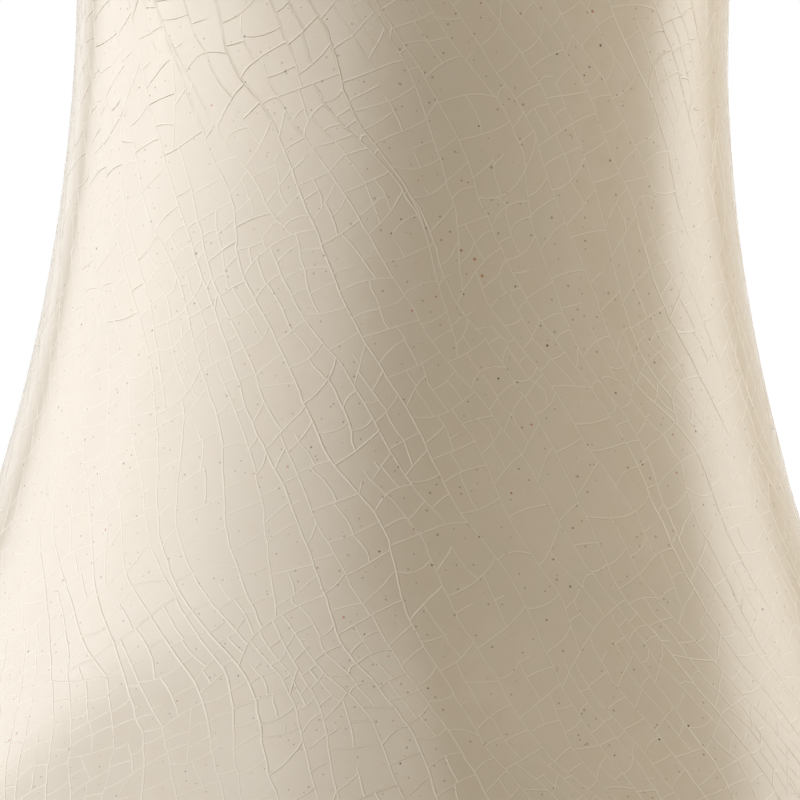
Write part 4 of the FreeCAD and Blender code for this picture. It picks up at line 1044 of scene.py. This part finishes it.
@dataclass
class GourdBody:
    """The glazed double gourd and the crackle in its glaze."""

    form: GourdForm
    columns: int = 416
    step: float = 3.0
    inner_step: float = 14.0
    bands: tuple[tuple[str, float, float], ...] = (
        ("crackle_belly", 0.0, 110.0),
        ("crackle_shoulder", 110.0, 205.0),
        ("crackle_waist", 205.0, 370.0),
        ("crackle_crown", 370.0, 999.0),
    )
    # What each of a ridge's three points across carries for the glaze: the crest's painted highlight and the
    # painted shade of the right or lower edge
    marks: tuple = (("crest", (0.0, 1.0, 0.0)), ("step", (0.0, 0.0, 1.0)))

    def clay(self, surface: GlazedSurface) -> Piece:
        """Turns the clay's closed section round the axis.

        A point is (r sin a, -r cos a, z) for each point of the section and each angle a.

        Args:
            surface: the glazed outside, which lends its unevenness.

        Returns:
            The body.
        """
        section = self.form.ring(self.step, self.inner_step)
        angle = np.linspace(0.0, 1.0, self.columns, endpoint=False)
        outside = len(self.form.outside(self.step))
        run = np.hypot(*np.diff(section[:outside], axis=0).T)
        rise = np.concatenate([[0.0], np.cumsum(run)]) * surface.length / run.sum()
        turn, height = np.meshgrid(angle, rise)
        skin, _ = surface.place(turn, height)
        rest = section[outside:]
        across = (rest[:, :1] * np.sin(FULL_TURN * angle), -rest[:, :1] * np.cos(FULL_TURN * angle))
        inner = np.stack([*across, np.broadcast_to(rest[:, 1:], across[0].shape)], axis=-1)
        points = np.concatenate([skin, inner]).reshape(-1, 3)
        return make_mesh("glazed_gourd", points, grid_faces(len(section), self.columns, True, True))

    def build(self, dressing: Dressing) -> None:
        """Makes the clay body and the net of ridges, in the same glaze."""
        surface = GlazedSurface(self.form)
        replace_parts(dressing.dress(self.clay(surface), "crackle_glaze", "root"), "gourd_body")
        net = CrackleNet(surface)
        cracks = net.grow()
        for name, low, high in self.bands:
            points, quads = net.ribbons(cracks, low, high)
            band = make_mesh(name, points, quads)
            # The crest's painted highlight and the painted shade of the right or lower edge, point by point
            for mark, across in self.marks:
                values = np.tile(across, len(points) // 3)
                band.data.attributes.new(mark, "FLOAT", "POINT").data.foreach_set("value", values)
            dressing.dress(band, "crackle_glaze", "root")


@dataclass
class Shade:
    """The linen shade: cloth, liner, taped edges and the wire spider that carries it."""

    bottom_radius: float = 203.0
    top_radius: float = 165.0
    height: float = 255.0
    low: float = 522.48
    cloth: float = 0.8
    lap: float = 12.0
    lap_rise: float = 0.45
    lap_edge: float = 0.8
    inset: float = 0.05
    slack: float = 0.25
    slack_length: float = 170.0
    columns: int = 720
    rows: int = 36

    @property
    def slant(self) -> float:
        """Length of the cloth up the cone."""
        return math.hypot(self.height, self.bottom_radius - self.top_radius)

    def cone(self) -> Piece:
        """The cloth as a closed thin cone with its lapped seam at the back.

        The radius falls evenly with height. A slow wave of a quarter of a millimetre, none at the
        two wires, gives it the slack of real cloth, and the lap stands proud over a narrow strip.

        Returns:
            The cloth.
        """
        share = np.linspace(0.0, 1.0, self.rows)
        turn = np.linspace(-0.5, 0.5, self.columns, endpoint=False)
        around, up = np.meshgrid(turn, share)
        radius = self.bottom_radius + (self.top_radius - self.bottom_radius) * up
        wave = ripple(around, up * self.height, seed=71, longest=self.slack_length, count=4)
        loose = self.slack * np.sin(math.pi * up) * wave
        inside = radius - self.cloth + loose
        from_seam = (0.5 - np.abs(around)) * FULL_TURN * radius
        lapped = np.clip((self.lap / 2 - from_seam) / self.lap_edge, 0.0, 1.0)
        outside = radius - self.inset + loose + self.lap_rise * lapped
        rings = np.concatenate([outside, inside[::-1]])
        level = self.low + self.height * np.concatenate([up, up[::-1]])
        angle = FULL_TURN * np.concatenate([around, around])
        points = np.stack([rings * np.sin(angle), -rings * np.cos(angle), level], axis=-1).reshape(-1, 3)
        quads = grid_faces(2 * self.rows, self.columns, True, True)
        row, column = np.divmod(np.arange(len(quads)), self.columns)
        middle = FULL_TURN * (self.bottom_radius + self.top_radius) / 2 / self.columns
        raised = self.slant / (self.rows - 1)
        corners = ((0, 0), (1, 0), (1, 1), (0, 1))
        flat = [np.stack([(column + i) * middle, (row + j) * raised], axis=-1) for i, j in corners]
        return make_mesh("shade_linen", points, quads, np.stack(flat, axis=1))

    def build(self, dressing: Dressing) -> None:
        """Makes the cloth, and dresses the liner, the tapes and the wires."""
        cloth = dressing.dress(self.cone(), "linen", "shade")
        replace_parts(cloth, "shade_cloth")
        dressing.keep("shade_liner", "shade_top_trim", "shade_bottom_trim")
        dressing.keep("shade_spider", "shade_bottom_ring")


KEPT = {
    "base": ("felt_pad", "base_plinth", "cord_bushing", "foot_gasket"),
    "rod": ("base_nut", "rod_washer", "threaded_rod"),
    "neck": ("mouth_gasket", "vase_cap", "check_ring", "neck_tube", "lock_nut"),
    "harp": ("harp_saddle", "harp_bow", "harp_sleeve_left", "harp_sleeve_right", "harp_stud", "finial"),
    "socket": ("socket_cap", "socket_set_screw", "socket_shell", "socket_liner", "socket_body"),
    "contacts": ("terminal_screws", "screw_shell", "centre_contact"),
    "switch": ("switch_stem", "switch_knob"),
    "bulb": ("bulb_tip", "bulb_insulator", "bulb_screw", "bulb_glass", "bulb_mount"),
    "wires": ("lead_wires", "filament"),
}


# The studio


@dataclass(frozen=True)
class Studio:
    """The room: a plain white floor and world, two soft side lamps and the camera."""

    # The camera's height, the picture's width at the lamp's axis, the distance and the roll in degrees
    aim: float = 276.0
    frame: float = 110.6
    distance: float = 1700.0
    roll: float = -1.0
    shift: float = 0.57
    sensor: float = 36.0
    # Lengths of the side lamps in metres, their azimuths in degrees and their power in watts
    lamp_distance: float = 1.5
    lamp_height: float = 0.75
    lamp_aim: float = 0.35
    lamps: tuple[tuple[str, float, float, float, float], ...] = (
        ("side_lamp_left", -52.0, 1.0, 1.2, 8.4),
        ("side_lamp_right", 90.0, 0.6, 1.2, 12.5),
    )
    # What other surfaces get from the world: level light, more from above
    ambient: float = 0.10
    ceiling: float = 0.7
    ceiling_edge: float = 0.6
    # What a gloss mirrors: pairs of an azimuth and a level, or the height of the boxes' upper edge
    room: float = 0.18
    brightest: float = 8.0
    boxes: tuple[Pair, ...] = (
        (-180, 0.8), (-170, 1.1), (-161, 2.1), (-150, 3.9), (-138, 4.7), (-122, 5.0), (-102, 4.9), (-80, 5.0),
        (-65, 4.6), (-50, 3.7), (-36, 2.9), (-22, 2.1), (-9, 1.0), (4, 0.3), (15, 0.1), (60, 0.1), (88, 0.15),
        (96, 0.5), (104, 1.5), (112, 2.35), (121, 2.65), (133, 2.1), (145, 1.4), (160, 1.0), (180, 0.8),
    )  # fmt: skip
    above_boxes: tuple[Pair, ...] = (
        (-180, 1.0), (-125, 2.7), (-100, 3.1), (-85, 3.1), (-70, 3.2), (-55, 3.2), (-42, 3.2), (-30, 2.6),
        (-19, 2.0), (-8, 1.4), (4, 1.1), (14, 0.7), (30, 0.2), (60, 0.3), (85, 0.5), (98, 0.5), (104, 1.2),
        (120, 1.7), (133, 1.8), (145, 1.5), (180, 1.0),
    )  # fmt: skip
    box_tops: tuple[Pair, ...] = (
        (-180, 0.55), (-110, 0.56), (-80, 0.61), (-41, 0.67), (0, 0.7), (40, 0.95), (180, 0.98),
    )  # fmt: skip
    edge_softness: float = 0.045
    # The floor: its rings, its own light near the lamp, and the distances in metres between which that rises
    floor_rings: tuple[float, ...] = (0.0, 300.0, 1500.0, 8000.0, 80000.0)
    floor_columns: int = 96
    floor_colour: str = "F2F2F2"
    glow: float = 0.5
    glow_reach: Pair = (0.25, 2.2)

    def camera(self) -> None:
        """Places the camera level with the lower waist, on a long lens, as in the photograph."""
        data = bpy.data.cameras.new("camera")
        data.sensor_width = self.sensor
        data.lens = self.sensor * self.distance / self.frame
        data.clip_start, data.clip_end = 0.1, 60.0
        camera = bpy.data.objects.new("camera", data)
        camera.location = (self.shift * MM, -self.distance * MM, self.aim * MM)
        camera.rotation_euler = (math.pi / 2, math.radians(self.roll), 0.0)
        bpy.context.scene.collection.objects.link(camera)
        bpy.context.scene.camera = camera

    def lamp(self, name: str, azimuth: float, width: float, height: float, power: float) -> None:
        """Adds one large soft lamp that faces the body.

        Args:
            name: the lamp's name.
            azimuth: its place round the body, in degrees from the front to the right.
            width: its width, in metres.
            height: its height, in metres.
            power: its power, in watts.
        """
        data = bpy.data.lights.new(name, "AREA")
        data.shape, data.size, data.size_y, data.energy = "RECTANGLE", width, height, power
        lamp = bpy.data.objects.new(name, data)
        turn, away, level = math.radians(azimuth), self.lamp_distance, self.lamp_height
        lamp.location = (away * math.sin(turn), -away * math.cos(turn), level)
        lamp.rotation_euler = (math.pi / 2 - math.atan2(level - self.lamp_aim, away), 0.0, turn)
        lamp.visible_glossy = False
        lamp.visible_camera = False
        bpy.context.scene.collection.objects.link(lamp)

    def round_curve(self, tree: Tree, turned: Socket, marks: tuple, top: float) -> Socket:
        """A value that changes with azimuth along a smooth curve.

        Args:
            tree: the world's nodes.
            turned: the azimuth, from 0 at -180 degrees to 1 at 180 degrees.
            marks: pairs of an azimuth in degrees and the value there, from -180 to 180.
            top: the largest value.

        Returns:
            The value.
        """
        node = add(tree, "ShaderNodeFloatCurve", {"Value": turned})
        points = node.mapping.curves[0].points
        places = [((degrees + 180.0) / 360.0, value / top) for degrees, value in marks]
        points[0].location, points[1].location = places[0], places[-1]
        for place in places[1:-1]:
            points.new(*place)
        node.mapping.update()
        return reckon(tree, "MULTIPLY", node.outputs[0], top)

    def world(self) -> None:
        """White behind the lamp; to a gloss it is a dim room with a wide soft box at each side.

        Each azimuth has one level under the boxes' upper edge and another above it. The left box is
        wide and fades towards the camera. The right one is a narrow strip.
        """
        world = bpy.data.worlds.new("studio")
        bpy.context.scene.world = world
        world.use_nodes = True
        tree = world.node_tree
        tree.nodes.clear()
        way = add(tree, "ShaderNodeTexCoord").outputs["Generated"]
        axes = add(tree, "ShaderNodeSeparateXYZ", {0: way}).outputs
        azimuth = reckon(tree, "ARCTAN2", axes["X"], reckon(tree, "MULTIPLY", axes["Y"], -1.0))
        turned = spread(tree, azimuth, (-math.pi, math.pi))
        level = self.round_curve(tree, turned, self.boxes, self.brightest)
        high_level = self.round_curve(tree, turned, self.above_boxes, self.brightest)
        edge = self.round_curve(tree, turned, self.box_tops, 1.0)
        over = reckon(tree, "SUBTRACT", axes["Z"], edge)
        higher = spread(tree, over, (-self.edge_softness, self.edge_softness), kind="SMOOTHSTEP")
        mirrored = reckon(tree, "ADD", blend(tree, higher, level, high_level), self.room)
        high = (self.ceiling_edge, 1.0)
        soft = spread(tree, axes["Z"], high, (self.ambient, self.ceiling), "SMOOTHSTEP")
        glossy = add(tree, "ShaderNodeLightPath").outputs["Is Glossy Ray"]
        strength = blend(tree, seen_straight(tree), blend(tree, glossy, soft, mirrored), 1.0)
        light = add(tree, "ShaderNodeBackground", {"Color": (1.0, 1.0, 1.0, 1.0), "Strength": strength})
        add(tree, "ShaderNodeOutputWorld", {0: light.outputs[0]})

    def floor(self) -> None:
        """A wide round floor that is white to the camera and keeps the lamp's shadow.

        Its own glow rises from the lamp outwards, where the side lamps no longer reach it.
        """
        turns = np.linspace(0.0, FULL_TURN, self.floor_columns, endpoint=False)
        radii = np.array(self.floor_rings)[:, None]
        points = np.stack([radii * np.cos(turns), radii * np.sin(turns), 0.0 * radii * turns], axis=-1)
        quads = grid_faces(len(self.floor_rings), self.floor_columns, True, False)
        floor = make_mesh("floor", points.reshape(-1, 3), quads)
        material, tree = start_material("white_painted_floor")
        length = add(tree, "ShaderNodeVectorMath", {0: object_place(tree)}, operation="LENGTH")
        strength = spread(tree, length.outputs["Value"], self.glow_reach, (self.glow, 1.0), "SMOOTHSTEP")
        matt = add(tree, "ShaderNodeBsdfDiffuse", {"Color": linear(self.floor_colour)}).outputs[0]
        light = {"Color": (1.0, 1.0, 1.0, 1.0), "Strength": strength}
        glowing = add(tree, "ShaderNodeEmission", light).outputs[0]
        both = add(tree, "ShaderNodeAddShader", {0: matt, 1: glowing}).outputs[0]
        surface = add(tree, "ShaderNodeMixShader", {0: seen_straight(tree), 1: matt, 2: both})
        add(tree, "ShaderNodeOutputMaterial", {0: surface.outputs[0]})
        floor.data.materials.append(material)

    def build(self) -> None:
        """Makes the camera, the world, the lamps and the floor."""
        self.camera()
        self.world()
        for lamp in self.lamps:
            self.lamp(*lamp)
        self.floor()


def main() -> None:
    """Loads the frame, then builds the studio and each sub-assembly in order."""
    logging.basicConfig(level=logging.INFO, format="%(name)s: %(message)s")
    bpy.context.scene.view_settings.view_transform = "Standard"
    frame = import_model()
    Studio().build()
    dressing = Dressing(frame)
    GourdBody(GourdForm()).build(dressing)
    Shade().build(dressing)
    for assembly, pieces in KEPT.items():
        LOG.info("the %s", assembly)
        dressing.keep(*pieces)


if __name__ == "__main__":
    main()
